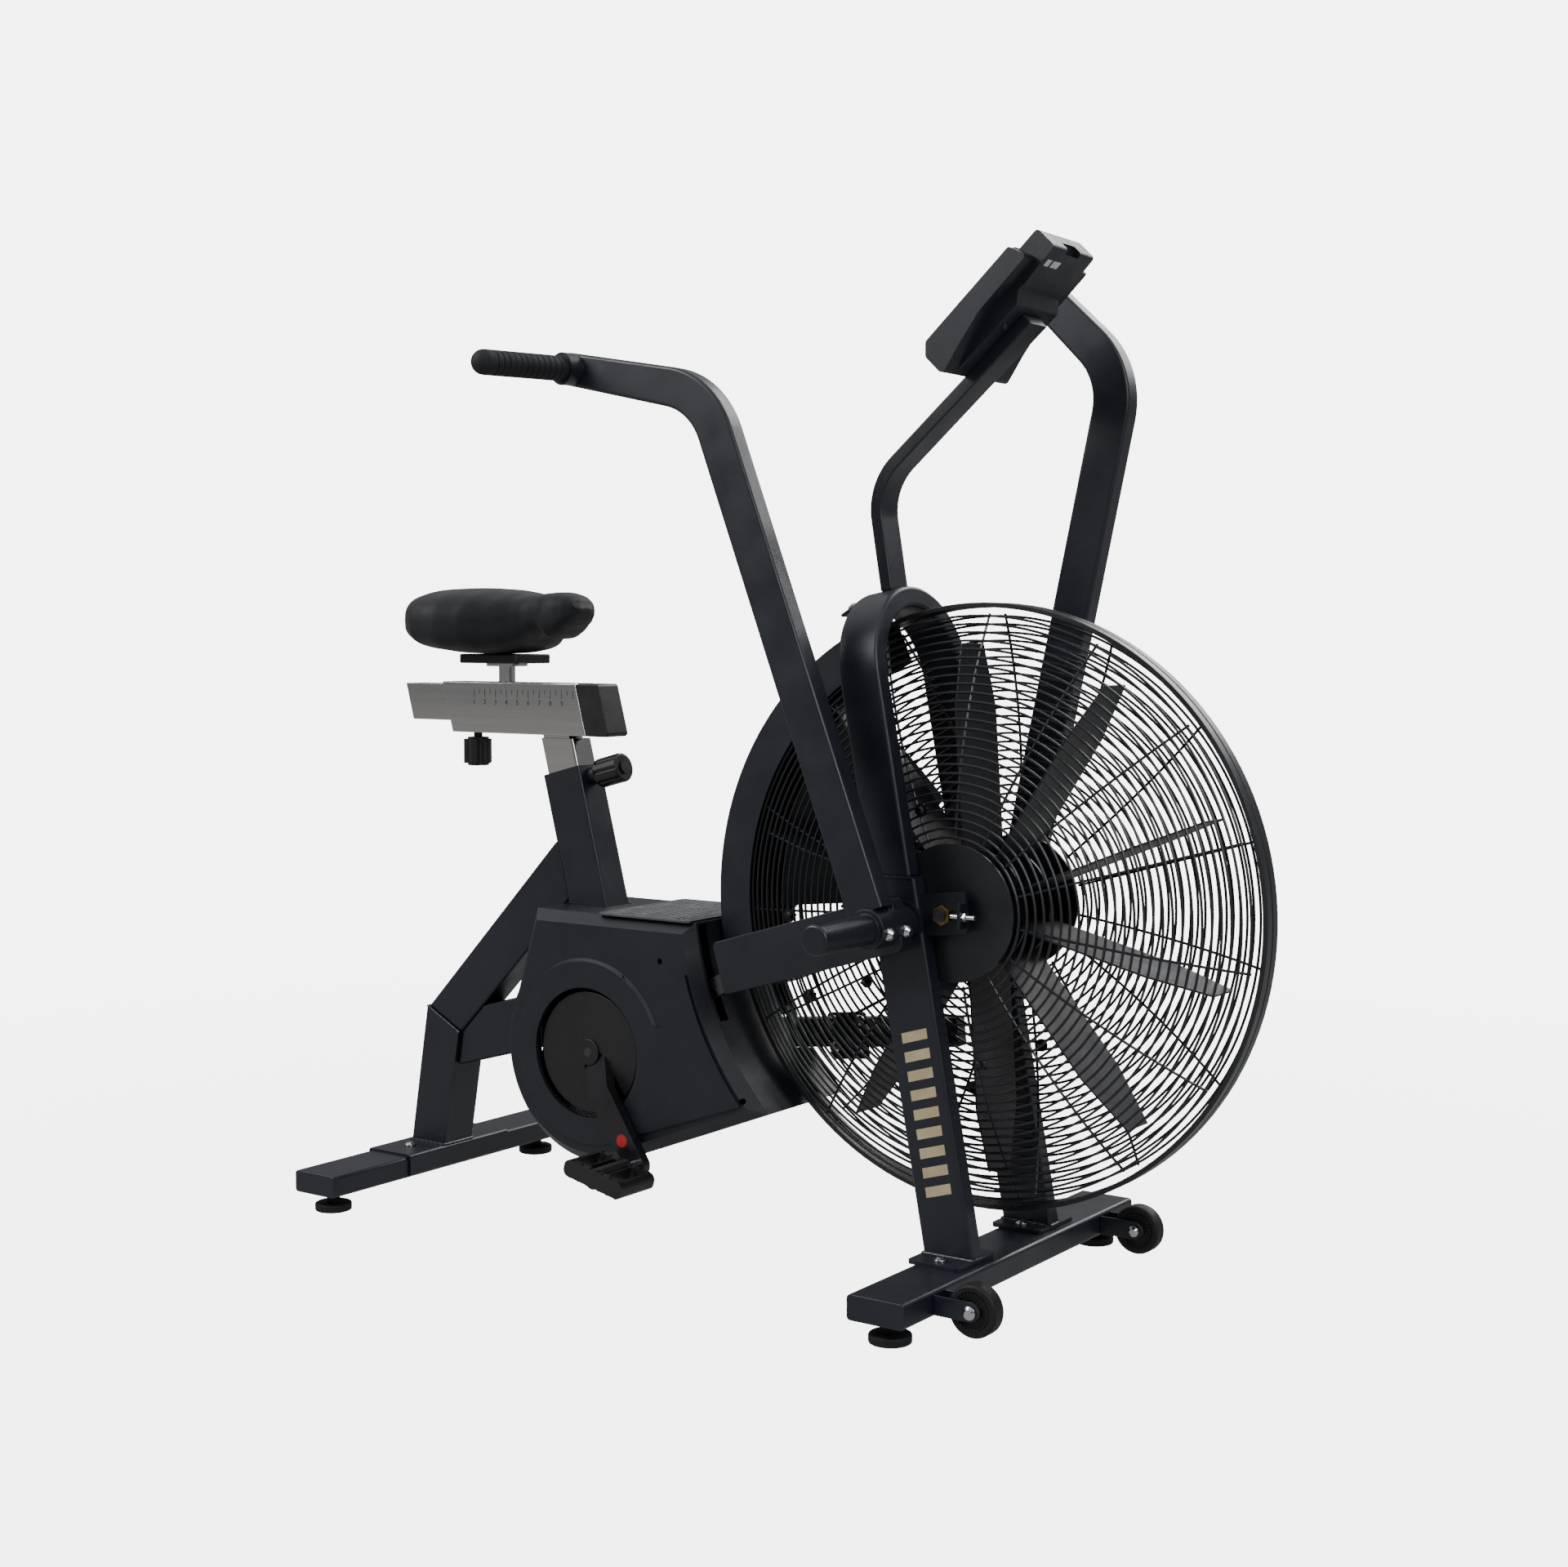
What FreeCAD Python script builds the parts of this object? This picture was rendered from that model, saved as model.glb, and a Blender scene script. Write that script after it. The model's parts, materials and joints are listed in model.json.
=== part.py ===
"""Air bike: fan-braked exercise bike with coupled hand levers, in millimetres.

X runs forward to the fan, Y to the rider's left, Z up. The origin is on the floor,
midway along and across the machine. Right-hand pieces are on the -Y side.
"""
import math
import os

import FreeCAD
import Part

V = FreeCAD.Vector

# ---------------------------------------------------------------- driving dimensions
FAN_X, FAN_Z = 290.0, 464.0          # fan axle
CAGE_R = 365.0                       # outside of the fan cage
CRANK_X, CRANK_Z = -253.0, 241.0     # crank axle
CRANK_LEN = 165.0
CRANK_ANGLE = -54.6                  # right crank at rest, from +X towards +Z
PIVOT_X, PIVOT_Z = 240.0, 452.0      # lever pivot
LEVER_REST = 16.5                    # right lever back, left lever forward

STAB_W, STAB_H, STAB_Z = 75.0, 30.0, 27.0
FRONT_X, FRONT_HALF, FRONT_FOOT_Y = 314.0, 283.0, 250.0
REAR_X, REAR_HALF, REAR_FOOT_Y = -614.0, 244.0, 209.0
WHEEL_X, WHEEL_Y, WHEEL_Z, WHEEL_R, WHEEL_W = 399.0, 206.0, 41.0, 30.5, 22.0

POST_W, POST_T, POST_OUT = 66.0, 25.0, 108.0
POST_FOOT_X, POST_LEAN = 305.0, 10.75
POST_TOP_Z = 505.0

SEAT_TUBE_W, SEAT_TUBE_T = 65.0, 50.0
SEAT_AXIS_X, SEAT_AXIS_Z, SEAT_LEAN = -343.5, 541.0, 14.6
SEAT_POST_W, SEAT_POST_T = 55.0, 40.0

BLADES, BLADE_R, BLADE_HALF, BLADE_PHASE = 10, 317.0, 48.0, 22.0
RINGS, SPOKES, SPOKE_PHASE = 26, 15, 160.0
HUB_PLATE_R, HUB_PLATE_Y = 82.0, 79.5
DOME_R = 600.0                       # bow of the wire guards
WIRE_R = 1.6

AXLE_R = 10.0
PULLEY_R, FAN_PULLEY_R = 95.0, 34.0
BELT_Y0, BELT_Y1 = 53.0, 59.0
ROD_Y0, ROD_Y1 = 67.0, 74.0
ROCKER_PIN = 225.0                   # pin distance from the lever pivot

MAST_W, MAST_T = 40.0, 16.0

NODES = {}


# ---------------------------------------------------------------- small helpers
def polar(x, z, radius, degrees):
    """Point at a radius and an angle from +X towards +Z."""
    a = math.radians(degrees)
    return (x + radius * math.cos(a), z + radius * math.sin(a))


def pt(xz, y=0.0):
    return V(xz[0], y, xz[1])


def box(x0, x1, y0, y1, z0, z1):
    return Part.makeBox(x1 - x0, y1 - y0, z1 - z0, V(x0, y0, z0))


def cyl_y(x, z, y0, y1, r):
    return Part.makeCylinder(r, y1 - y0, V(x, y0, z), V(0, 1, 0))


def cyl_z(x, y, z0, z1, r):
    return Part.makeCylinder(r, z1 - z0, V(x, y, z0), V(0, 0, 1))


def ring_y(x, z, y0, y1, r_out, r_in):
    return cyl_y(x, z, y0, y1, r_out).cut(cyl_y(x, z, y0 - 1, y1 + 1, r_in))


def hexagon_y(x, z, y0, y1, flat):
    points = [polar(x, z, flat / 2 / math.cos(math.radians(30)), 60 * i + 30) for i in range(6)]
    return prism(points, y0, y1)


def rounded_wire(points, radii, y=0.0):
    """Closed wire through XZ points, each corner rounded to its own radius."""
    n = len(points)
    starts, ends, arcs = [], [], []
    for i in range(n):
        p, a, b = pt(points[i], y), pt(points[i - 1], y), pt(points[(i + 1) % n], y)
        r = radii[i] if isinstance(radii, (list, tuple)) else radii
        if r <= 0:
            starts.append(p)
            ends.append(p)
            arcs.append(None)
            continue
        u, v = (a - p).normalize(), (b - p).normalize()
        half = u.getAngle(v) / 2
        reach = r / math.tan(half)
        s, e = p + u * reach, p + v * reach
        centre = p + (u + v).normalize() * (r / math.sin(half))
        mid = centre + (p - centre).normalize() * r
        starts.append(s)
        ends.append(e)
        arcs.append(Part.Arc(s, mid, e).toShape())
    edges = []
    for i in range(n):
        if arcs[i]:
            edges.append(arcs[i])
        nxt = starts[(i + 1) % n]
        if (nxt - ends[i]).Length > 1e-6:
            edges.append(Part.LineSegment(ends[i], nxt).toShape())
    return Part.Wire(edges)


def prism(points, y0, y1, radii=0.0):
    """Plate of an XZ outline between two Y planes."""
    face = Part.Face(rounded_wire(points, radii, y0))
    return face.extrude(V(0, y1 - y0, 0))


def bar(a, b, width, y0, y1, radius=0.0):
    """Flat bar or tube between two XZ points, `width` across its line."""
    d = (pt(b) - pt(a)).normalize()
    n = V(-d.z, 0, d.x) * (width / 2)
    corners = [pt(a) + n, pt(a) - n, pt(b) - n, pt(b) + n]
    return prism([(c.x, c.z) for c in corners], y0, y1, radius)


def soften(shape, radius, direction):
    """Round the straight edges that run along a direction."""
    edges = []
    for e in shape.Edges:
        if e.Curve.TypeId == "Part::GeomLine" and abs(e.Curve.Direction.dot(direction)) > 0.999:
            edges.append(e)
    return shape.makeFillet(radius, edges)


def round_rims(shape, radius):
    """Round every full-circle edge of a plain disc or barrel."""
    return shape.makeFillet(radius, [e for e in shape.Edges if e.Curve.TypeId == "Part::GeomCircle"])


def mirror(shape):
    return shape.mirror(V(0, 0, 0), V(0, 1, 0))


def both(shape):
    return [shape, mirror(shape)]


def lever_turn(shape, degrees):
    """Turn about the lever pivot; positive is forward."""
    turned = shape.copy()
    turned.rotate(V(PIVOT_X, 0, PIVOT_Z), V(0, 1, 0), degrees)
    return turned


def dome(x, y, z, r, head, axis):
    """Button or dome head standing on a surface."""
    base = Part.makeCylinder(r, head * 0.5, V(x, y, z), axis)
    cap = Part.makeCone(r, r * 0.55, head * 0.5, V(x, y, z) + axis * head * 0.5, axis)
    return base.fuse(cap).removeSplitter()


def two_circles(ax, az, ra, bx, bz, rb, y0, y1):
    """Plate of the outline of a taut belt round two circles."""
    d = math.hypot(bx - ax, bz - az)
    line = math.degrees(math.atan2(bz - az, bx - ax))
    off = math.degrees(math.acos((ra - rb) / d))
    a_up, a_dn = polar(ax, az, ra, line + off), polar(ax, az, ra, line - off)
    b_up, b_dn = polar(bx, bz, rb, line + off), polar(bx, bz, rb, line - off)
    edges = [
        Part.Arc(pt(a_up, y0), pt(polar(ax, az, ra, line + 180), y0), pt(a_dn, y0)).toShape(),
        Part.LineSegment(pt(a_dn, y0), pt(b_dn, y0)).toShape(),
        Part.Arc(pt(b_dn, y0), pt(polar(bx, bz, rb, line), y0), pt(b_up, y0)).toShape(),
        Part.LineSegment(pt(b_up, y0), pt(a_up, y0)).toShape(),
    ]
    return Part.Face(Part.Wire(edges)).extrude(V(0, y1 - y0, 0))


def keep(name, *shapes):
    solids = []
    for shape in shapes:
        for one in shape if isinstance(shape, list) else [shape]:
            solids.extend(one.Solids)
    NODES[name] = Part.makeCompound(solids) if len(solids) > 1 else solids[0]


# ---------------------------------------------------------------- base
def stabiliser(x, half):
    tube = box(x - STAB_W / 2, x + STAB_W / 2, -half, half, STAB_Z, STAB_Z + STAB_H)
    return soften(tube, 5.0, V(0, 1, 0))


stab_top = STAB_Z + STAB_H
front = stabiliser(FRONT_X, FRONT_HALF)
front_face = FRONT_X + STAB_W / 2
bracket_plate = prism(
    [(front_face, STAB_Z + 3), (WHEEL_X + 4, STAB_Z + 3), (WHEEL_X + 15, WHEEL_Z),
     (WHEEL_X + 4, STAB_Z + 26), (front_face, STAB_Z + 26)],
    WHEEL_Y + WHEEL_W / 2 + 0.6, WHEEL_Y + WHEEL_W / 2 + 3.6, [0, 6, 6, 6, 0])
plates = both(bracket_plate)
inner_plate = bracket_plate.copy()
inner_plate.translate(V(0, -(WHEEL_W + 4.2), 0))
plates += both(inner_plate)
axle_hole = cyl_y(WHEEL_X, WHEEL_Z, -260, 260, 4.0)
keep("front_stabilizer", front, [p.cut(axle_hole) for p in plates])
keep("rear_stabilizer", stabiliser(REAR_X, REAR_HALF))

feet = []
stems = []
for fx, fy in ((FRONT_X, FRONT_FOOT_Y), (REAR_X, REAR_FOOT_Y)):
    pad = round_rims(cyl_z(fx, -fy, 0, 11, 25.0), 2.5)
    feet += both(pad.cut(cyl_z(fx, -fy, 8, 12, 17)))
    stem = cyl_z(fx, -fy, 8, 11.5, 17).fuse(cyl_z(fx, -fy, 11.5, STAB_Z, 9)).removeSplitter()
    stems += both(stem)
keep("feet", feet, stems)

wheel = ring_y(WHEEL_X, WHEEL_Z, WHEEL_Y - WHEEL_W / 2, WHEEL_Y + WHEEL_W / 2, WHEEL_R, 4.06)
groove = ring_y(WHEEL_X, WHEEL_Z, WHEEL_Y + WHEEL_W / 2 - 3, WHEEL_Y + WHEEL_W / 2 + 1, 22.0, 9.0)
wheel = wheel.makeChamfer(2.5, [e for e in wheel.Edges if e.Curve.TypeId == "Part::GeomCircle"
                                and e.Curve.Radius > 20])
wheel = wheel.cut(groove)
groove.translate(V(0, -(WHEEL_W - 2), 0))
wheel = wheel.cut(groove)
keep("wheel_left", wheel)
keep("wheel_right", mirror(wheel))
pin_half = WHEEL_W / 2 + 3.6
wheel_pin = cyl_y(WHEEL_X, WHEEL_Z, WHEEL_Y - pin_half, WHEEL_Y + pin_half, 4.0)
pin_head = dome(WHEEL_X, WHEEL_Y + pin_half, WHEEL_Z, 8.0, 5.0, V(0, 1, 0))
pin_nut = dome(WHEEL_X, WHEEL_Y - pin_half, WHEEL_Z, 7.0, 6.0, V(0, -1, 0))
frame_bolts = both(wheel_pin.fuse([pin_head, pin_nut]).removeSplitter())

# ---------------------------------------------------------------- rear frame
CHANNEL_T, CHANNEL_HALF = 3.5, 101.0
channel = box(REAR_X - STAB_W / 2 - CHANNEL_T, REAR_X + STAB_W / 2 + CHANNEL_T,
              -CHANNEL_HALF, CHANNEL_HALF, STAB_Z + 2, stab_top + CHANNEL_T)
channel = soften(channel, 5.0, V(0, 1, 0)).cut(NODES["rear_stabilizer"])
channel = channel.cut(box(REAR_X - STAB_W / 2, REAR_X + STAB_W / 2, -102, 102, STAB_Z - 2, stab_top))
ch_top = stab_top + CHANNEL_T
upright = prism([(-641, ch_top), (-577, ch_top), (-549, 226), (-609, 258)], -28, 28)
strut = prism([(-609, 258), (-549, 226), (-340, 436), (-358, 520)], -25, 25)
keep("rear_upright", channel, upright)

seat_dir = V(-math.sin(math.radians(SEAT_LEAN)), 0, math.cos(math.radians(SEAT_LEAN)))
seat_base = V(SEAT_AXIS_X, 0, SEAT_AXIS_Z)


def on_seat(s, n=0.0):
    """XZ point at s along the seat tube's line and n in front of it."""
    p = seat_base + seat_dir * s + V(seat_dir.z, 0, -seat_dir.x) * n
    return (p.x, p.z)


TUBE_LOW, TUBE_HIGH = -300.0, 66.0
shell_r = 26.0
tube = bar(on_seat(TUBE_LOW), on_seat(TUBE_HIGH), SEAT_TUBE_W, -SEAT_TUBE_T / 2, SEAT_TUBE_T / 2)
tube = soften(tube, 4.0, seat_dir)
bore_w, bore_t = SEAT_POST_W + 0.6, SEAT_POST_T + 0.6
tube = tube.cut(bar(on_seat(-250), on_seat(TUBE_HIGH + 5), bore_w, -bore_t / 2, bore_t / 2))
knob_axis = V(seat_dir.z, 0, -seat_dir.x)
knob_foot = pt(on_seat(50.0, SEAT_TUBE_W / 2))
pin_bore = Part.makeCylinder(5.06, 30, knob_foot - knob_axis * 8, knob_axis)
boss = Part.makeCylinder(12.5, 14, knob_foot, knob_axis)
shell = cyl_y(CRANK_X, CRANK_Z, -34, 34, shell_r)
tube = tube.cut(shell).fuse(boss).cut(pin_bore).removeSplitter()
keep("seat_tube", tube)
bearing = ring_y(CRANK_X, CRANK_Z, 21, 33, 20.0, AXLE_R + 0.05)
keep("bottom_bracket", shell.cut(cyl_y(CRANK_X, CRANK_Z, -35, 35, 20.0)), both(bearing))
keep("diagonal_strut", strut.cut(bar(on_seat(TUBE_LOW), on_seat(80), SEAT_TUBE_W, -40, 40)))

beam = prism([(-590, 168), (-590, 246), (-280, 330), (-280, 252)], -22, 22)
beam = beam.cut(prism([(-641, 40), (-577, 40), (-549, 226), (-609, 258)], -40, 40))
beam = beam.cut(strut).cut(bar(on_seat(-400), on_seat(80), SEAT_TUBE_W, -40, 40)).cut(shell)
keep("rear_beam", max(beam.Solids, key=lambda s: s.Volume))


# ---------------------------------------------------------------- fork, arch and fan beam
def post_x(z):
    return POST_FOOT_X - (z - stab_top) * math.tan(math.radians(POST_LEAN))


PLATE_T = 5.0
plate_top = stab_top + PLATE_T
half_w = POST_W / 2 / math.cos(math.radians(POST_LEAN))
post = prism([(post_x(plate_top) - half_w, plate_top), (post_x(plate_top) + half_w, plate_top),
              (post_x(POST_TOP_Z) + half_w, POST_TOP_Z), (post_x(POST_TOP_Z) - half_w, POST_TOP_Z)],
             POST_OUT - POST_T, POST_OUT)
post = soften(post, 4.0, V(-math.sin(math.radians(POST_LEAN)), 0, math.cos(math.radians(POST_LEAN))))
keep("fork_post_left", post)
keep("fork_post_right", mirror(post))
foot_plate = box(POST_FOOT_X - 36, POST_FOOT_X + 34, 56, 143, stab_top, plate_top)
foot_plates = both(soften(foot_plate, 6.0, V(0, 0, 1)))

ARCH_W, ARCH_LEG = 56.0, 238.0
arch_r = POST_OUT - POST_T / 2
lean_up = V(-math.sin(math.radians(POST_LEAN)), 0, math.cos(math.radians(POST_LEAN)))
leg_foot = V(post_x(POST_TOP_Z), 0, POST_TOP_Z)
leg_top = leg_foot + lean_up * ARCH_LEG


def arch_solid():
    """Leaning hoop: two legs and a half turn, rectangular in section."""
    def hoop(r, half):
        foot = leg_foot - lean_up * 20
        a, b = foot + V(0, -r, 0), leg_top + V(0, -r, 0)
        c, d = leg_top + V(0, r, 0), foot + V(0, r, 0)
        crown = leg_top + lean_up * r
        wire = Part.Wire([Part.LineSegment(a, b).toShape(), Part.Arc(b, crown, c).toShape(),
                          Part.LineSegment(c, d).toShape(), Part.LineSegment(d, a).toShape()])
        face = Part.Face(wire)
        across = V(lean_up.z, 0, -lean_up.x)
        face.translate(across * -half)
        return face.extrude(across * (2 * half))
    body = hoop(POST_OUT, ARCH_W / 2).cut(hoop(POST_OUT - POST_T, ARCH_W))
    return body.cut(box(0, 500, -200, 200, 300, POST_TOP_Z))


keep("fan_arch", arch_solid())
crown_top = leg_top + lean_up * POST_OUT

beam_y0, beam_y1 = 78.0, 102.0
fan_beam = bar((-128, 254), (205, 290), 38, beam_y0, beam_y1)
fan_beam = fan_beam.cut(prism([(post_x(62) - half_w, 62), (post_x(62) + 90, 62),
                               (post_x(505) + 90, 505), (post_x(505) - half_w, 505)], 70, 112))
cross = box(-128, -92, 22, beam_y0, 222, 258)
gusset = prism([(-226, 222), (-226, 262), (-92, 258), (-92, 222)], -18, 22)
gusset = gusset.cut(shell)
joint_plate = bar((14, 266), (74, 273), 62, beam_y0 - 5, beam_y0, 6)
keep("fan_beam", fan_beam, cross, gusset, joint_plate)
bolt_points = [(23, 288), (64, 292), (26, 253), (66, 257)]
frame_bolts += [dome(x, beam_y0 - 5, z, 7.5, 8.0, V(0, -1, 0)) for x, z in bolt_points]

for bx, by, bz in ((POST_FOOT_X, 127, plate_top), (POST_FOOT_X, 70, plate_top), (REAR_X, 60, ch_top)):
    frame_bolts += both(dome(bx, by, bz, 8.0, 5.0, V(0, 0, 1)))

# ---------------------------------------------------------------- fan axle and its tabs
tab = prism([(256, 486), (266, 437), (321, 444), (317, 493)], 92, 98, 3)
flange = box(315, 319, 98, 112, 450, 480)
tab_hole = cyl_y(FAN_X, FAN_Z, 80, 130, 7.0)
screw_hole = Part.makeCylinder(3.0, 60, V(300, 105, FAN_Z), V(1, 0, 0))
keep("fork_plates", foot_plates, both(tab.cut(tab_hole).cut(post)), both(flange.cut(screw_hole)))
screw = Part.makeCylinder(3.0, 32, V(FAN_X + 13, 105, FAN_Z), V(1, 0, 0))
nut = Part.Face(Part.makePolygon([V(319, 105 + 6 * math.cos(math.radians(60 * i)),
                                    FAN_Z + 6 * math.sin(math.radians(60 * i))) for i in range(7)]))
nut = nut.extrude(V(5, 0, 0))
frame_bolts += both(screw.fuse(nut).removeSplitter())
axle = cyl_y(FAN_X, FAN_Z, -112, 112, 7.0)
collar = cyl_y(FAN_X, FAN_Z, 63, HUB_PLATE_Y, 11.0)
spacer = cyl_y(FAN_X, FAN_Z, HUB_PLATE_Y + 2.5, 92, 11.0)
keep("fan_axle", axle.fuse([collar, mirror(collar), spacer, mirror(spacer)]).removeSplitter())
axle_nut = hexagon_y(FAN_X, FAN_Z, 98, 107, 21).cut(cyl_y(FAN_X, FAN_Z, 90, 115, 7.0))
keep("axle_nuts", both(axle_nut))

# ---------------------------------------------------------------- fan
hub = ring_y(FAN_X, FAN_Z, -50, 50, 28.0, 7.05)
for side in (-1, 1):
    hub = hub.fuse(ring_y(FAN_X, FAN_Z, side * 30 - 2, side * 30 + 2, 72.0, 20.0))
pulley = ring_y(FAN_X, FAN_Z, 50, BELT_Y1 + 3, FAN_PULLEY_R + 5, 7.05)
pulley = pulley.cut(ring_y(FAN_X, FAN_Z, BELT_Y0 - 0.5, BELT_Y1 + 0.5, FAN_PULLEY_R + 10, FAN_PULLEY_R))
keep("fan_hub", hub.removeSplitter(), pulley)
blade_points = [(30, -BLADE_HALF), (240, -BLADE_HALF), (BLADE_R, -26), (BLADE_R, 26),
                (240, BLADE_HALF), (30, BLADE_HALF)]
blades = []
for i in range(BLADES):
    face = Part.Face(Part.makePolygon([V(r, y, -1.25) for r, y in blade_points + blade_points[:1]]))
    blade = face.extrude(V(0, 0, 2.5))
    blade.rotate(V(0, 0, 0), V(0, 1, 0), -(BLADE_PHASE + i * 360.0 / BLADES))
    blade.translate(V(FAN_X, 0, FAN_Z))
    blades.append(blade.cut(hub))
keep("fan_blades", blades)

# ---------------------------------------------------------------- fan cage
RIM_IN, RIM_OUT, RIM_W = CAGE_R - 6.0, CAGE_R, 14.0
dome_a, dome_b = V(HUB_PLATE_R + 2, 81, 0), V(354.0, 20.0, 0)
chord = dome_b - dome_a
mid = (dome_a + dome_b) * 0.5
normal_in = V(chord.y, -chord.x, 0).normalize()
dome_c = mid + normal_in * math.sqrt(DOME_R ** 2 - (chord.Length / 2) ** 2)
ang_a = math.atan2(dome_a.y - dome_c.y, dome_a.x - dome_c.x)
ang_b = math.atan2(dome_b.y - dome_c.y, dome_b.x - dome_c.x)


def dome_point(t, inset=0.0):
    """Radius and height of the wire guard at t from 0 at the hub to 1 at the rim."""
    a = ang_a + (ang_b - ang_a) * t
    return (dome_c.x + (DOME_R - inset) * math.cos(a), dome_c.y + (DOME_R - inset) * math.sin(a))


BELT_GAP = (230.0, 292.0)            # left guard radii that the belt passes through
BELT_SPOKES = (1, 2)                 # and the sectors it passes through
SECTOR = 360.0 / SPOKES
spoke_sweep = math.degrees(ang_a - ang_b) * 0.985


def wire_arc(at, across, up, centre, axis, sweep):
    """Eight-sided wire swept about an axis from a section at a point."""
    corners = []
    for k in range(9):
        a = math.radians(22.5 + 45 * k)
        corners.append(at + across * (WIRE_R * math.cos(a)) + up * (WIRE_R * math.sin(a)))
    return Part.Face(Part.makePolygon(corners)).revolve(centre, axis, sweep)


def guard_sector(gap):
    """One radial wire with its share of every ring, on the +Y side, about the X axis."""
    r0, y0 = dome_point(0.01, WIRE_R + 0.7)
    a0 = math.atan2(y0 - dome_c.y, r0 - dome_c.x)
    out = V(math.cos(a0), math.sin(a0), 0)
    spoke = wire_arc(V(r0, y0, 0), out, V(0, 0, 1), dome_c, V(0, 0, -1), spoke_sweep)
    arcs = []
    half = math.radians(SECTOR / 2)
    radial = V(math.cos(half), 0, math.sin(half))
    for i in range(RINGS):
        r, y = dome_point((i + 0.5) / RINGS)
        if gap and BELT_GAP[0] < r < BELT_GAP[1]:
            continue
        arcs.append(wire_arc(radial * r + V(0, y, 0), radial, V(0, 1, 0), V(0, y, 0), V(0, 1, 0), SECTOR))
    return spoke.fuse(arcs).removeSplitter()


full_sector = guard_sector(False)
gap_sector = guard_sector(True)


def guard(side):
    solids = []
    for i in range(SPOKES):
        sector = (gap_sector if side > 0 and i in BELT_SPOKES else full_sector).copy()
        sector.rotate(V(0, 0, 0), V(0, 1, 0), -(SPOKE_PHASE + i * SECTOR))
        sector.translate(V(FAN_X, 0, FAN_Z))
        solids.append(sector if side > 0 else mirror(sector))
    plate = ring_y(FAN_X, FAN_Z, HUB_PLATE_Y, HUB_PLATE_Y + 2.5, HUB_PLATE_R, 7.0)
    solids.append(plate if side > 0 else mirror(plate))
    return solids


keep("guard_left", guard(1))
keep("guard_right", guard(-1))


def band_arc(r_in, r_out, y0, y1, start, end):
    """Part of a ring about the fan axle between two angles."""
    face = Part.Face(Part.makePolygon([V(r_in, y0, 0), V(r_out, y0, 0), V(r_out, y1, 0),
                                       V(r_in, y1, 0), V(r_in, y0, 0)]))
    solid = face.revolve(V(0, 0, 0), V(0, 1, 0), end - start)
    solid.rotate(V(0, 0, 0), V(0, 1, 0), -end)
    solid.translate(V(FAN_X, 0, FAN_Z))
    return solid


rims = []
for i in range(8):
    piece = band_arc(RIM_IN, RIM_OUT, 1.0, RIM_W + 1, 45 * i, 45 * (i + 1))
    rims += both(piece)
keep("guard_rims", rims)

WIND_START, WIND_END, WIND_PARTS = 114.0, 192.0, 6
PANEL_START, PANEL_END = 130.0, 184.5
wind = []
for i in range(WIND_PARTS):
    step = (WIND_END - WIND_START) / WIND_PARTS
    a0, a1 = WIND_START + i * step, WIND_START + (i + 1) * step
    skin = band_arc(366.0, 368.5, -40.0, 40.0, a0, a1)
    flange_arc = band_arc(322.0, 366.0, 37.5, 40.0, a0, a1)
    wind.append(skin.fuse([flange_arc, mirror(flange_arc)]).removeSplitter())
screws = []
for gap_index, angle in ((15, 112), (15, 184), (15, 208), (15, 256), (4, 108), (9, 280)):
    r, y = dome_point(gap_index / RINGS)
    sx, sz = polar(FAN_X, FAN_Z, r, angle + 1.4)
    top = dome_point((gap_index - 0.75) / RINGS)[1] + WIRE_R + 0.1
    washer = cyl_y(sx, sz, top, top + 1.5, 8.0)
    head = dome(sx, top + 1.5, sz, 5.0, 3.5, V(0, 1, 0))
    shank = cyl_y(sx, sz, top - 12, top, 2.0)
    screws += both(washer.fuse([head, shank]).removeSplitter())
keep("guard_screws", screws)

PANEL_T0, PANEL_T1 = 0.265, 0.872    # inner and outer edge along the bow of the left guard
panel_mid = (PANEL_T0 + PANEL_T1) / 2
near, far = [[V(*dome_point(t, inset), 0) for t in (PANEL_T0, panel_mid, PANEL_T1)] for inset in (4.4, 5.9)]
section = Part.Face(Part.Wire([
    Part.Arc(*near).toShape(), Part.LineSegment(near[2], far[2]).toShape(),
    Part.Arc(*reversed(far)).toShape(), Part.LineSegment(far[0], near[0]).toShape()]))
panel_step = (PANEL_END - PANEL_START) / WIND_PARTS
panels = []
for i in range(WIND_PARTS):
    panel = section.revolve(V(0, 0, 0), V(0, 1, 0), panel_step)
    panel.rotate(V(0, 0, 0), V(0, 1, 0), -(PANEL_START + (i + 1) * panel_step))
    panel.translate(V(FAN_X, 0, FAN_Z))
    panels.append(panel.cut(Part.makeCompound(screws)))
keep("wind_guard", wind, panels)

# ---------------------------------------------------------------- crank, pulley, belt
ECC_R, ECC_OFF, ECC_ANGLE = 55.0, 40.0, 207.5
ecc_right = polar(CRANK_X, CRANK_Z, ECC_OFF, ECC_ANGLE)
ecc_left = polar(CRANK_X, CRANK_Z, ECC_OFF, ECC_ANGLE - 180)
axle = cyl_y(CRANK_X, CRANK_Z, -84, 84, AXLE_R)
sheaves = [cyl_y(*ecc_right, -66, -61, ECC_R), cyl_y(*ecc_left, 61, 66, ECC_R)]
keep("crank_axle", axle.fuse(sheaves).removeSplitter())
web = ring_y(CRANK_X, CRANK_Z, 54, 58, PULLEY_R - 8, AXLE_R)
windows = [cyl_y(*polar(CRANK_X, CRANK_Z, 54, 72 * i), 50, 62, 18) for i in range(5)]
rim = ring_y(CRANK_X, CRANK_Z, 50, 60.5, PULLEY_R + 5, PULLEY_R - 8)
rim = rim.cut(ring_y(CRANK_X, CRANK_Z, BELT_Y0 - 0.5, BELT_Y1 + 0.5, PULLEY_R + 10, PULLEY_R))
hub_boss = ring_y(CRANK_X, CRANK_Z, 44, 60.5, 24, AXLE_R)
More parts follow.
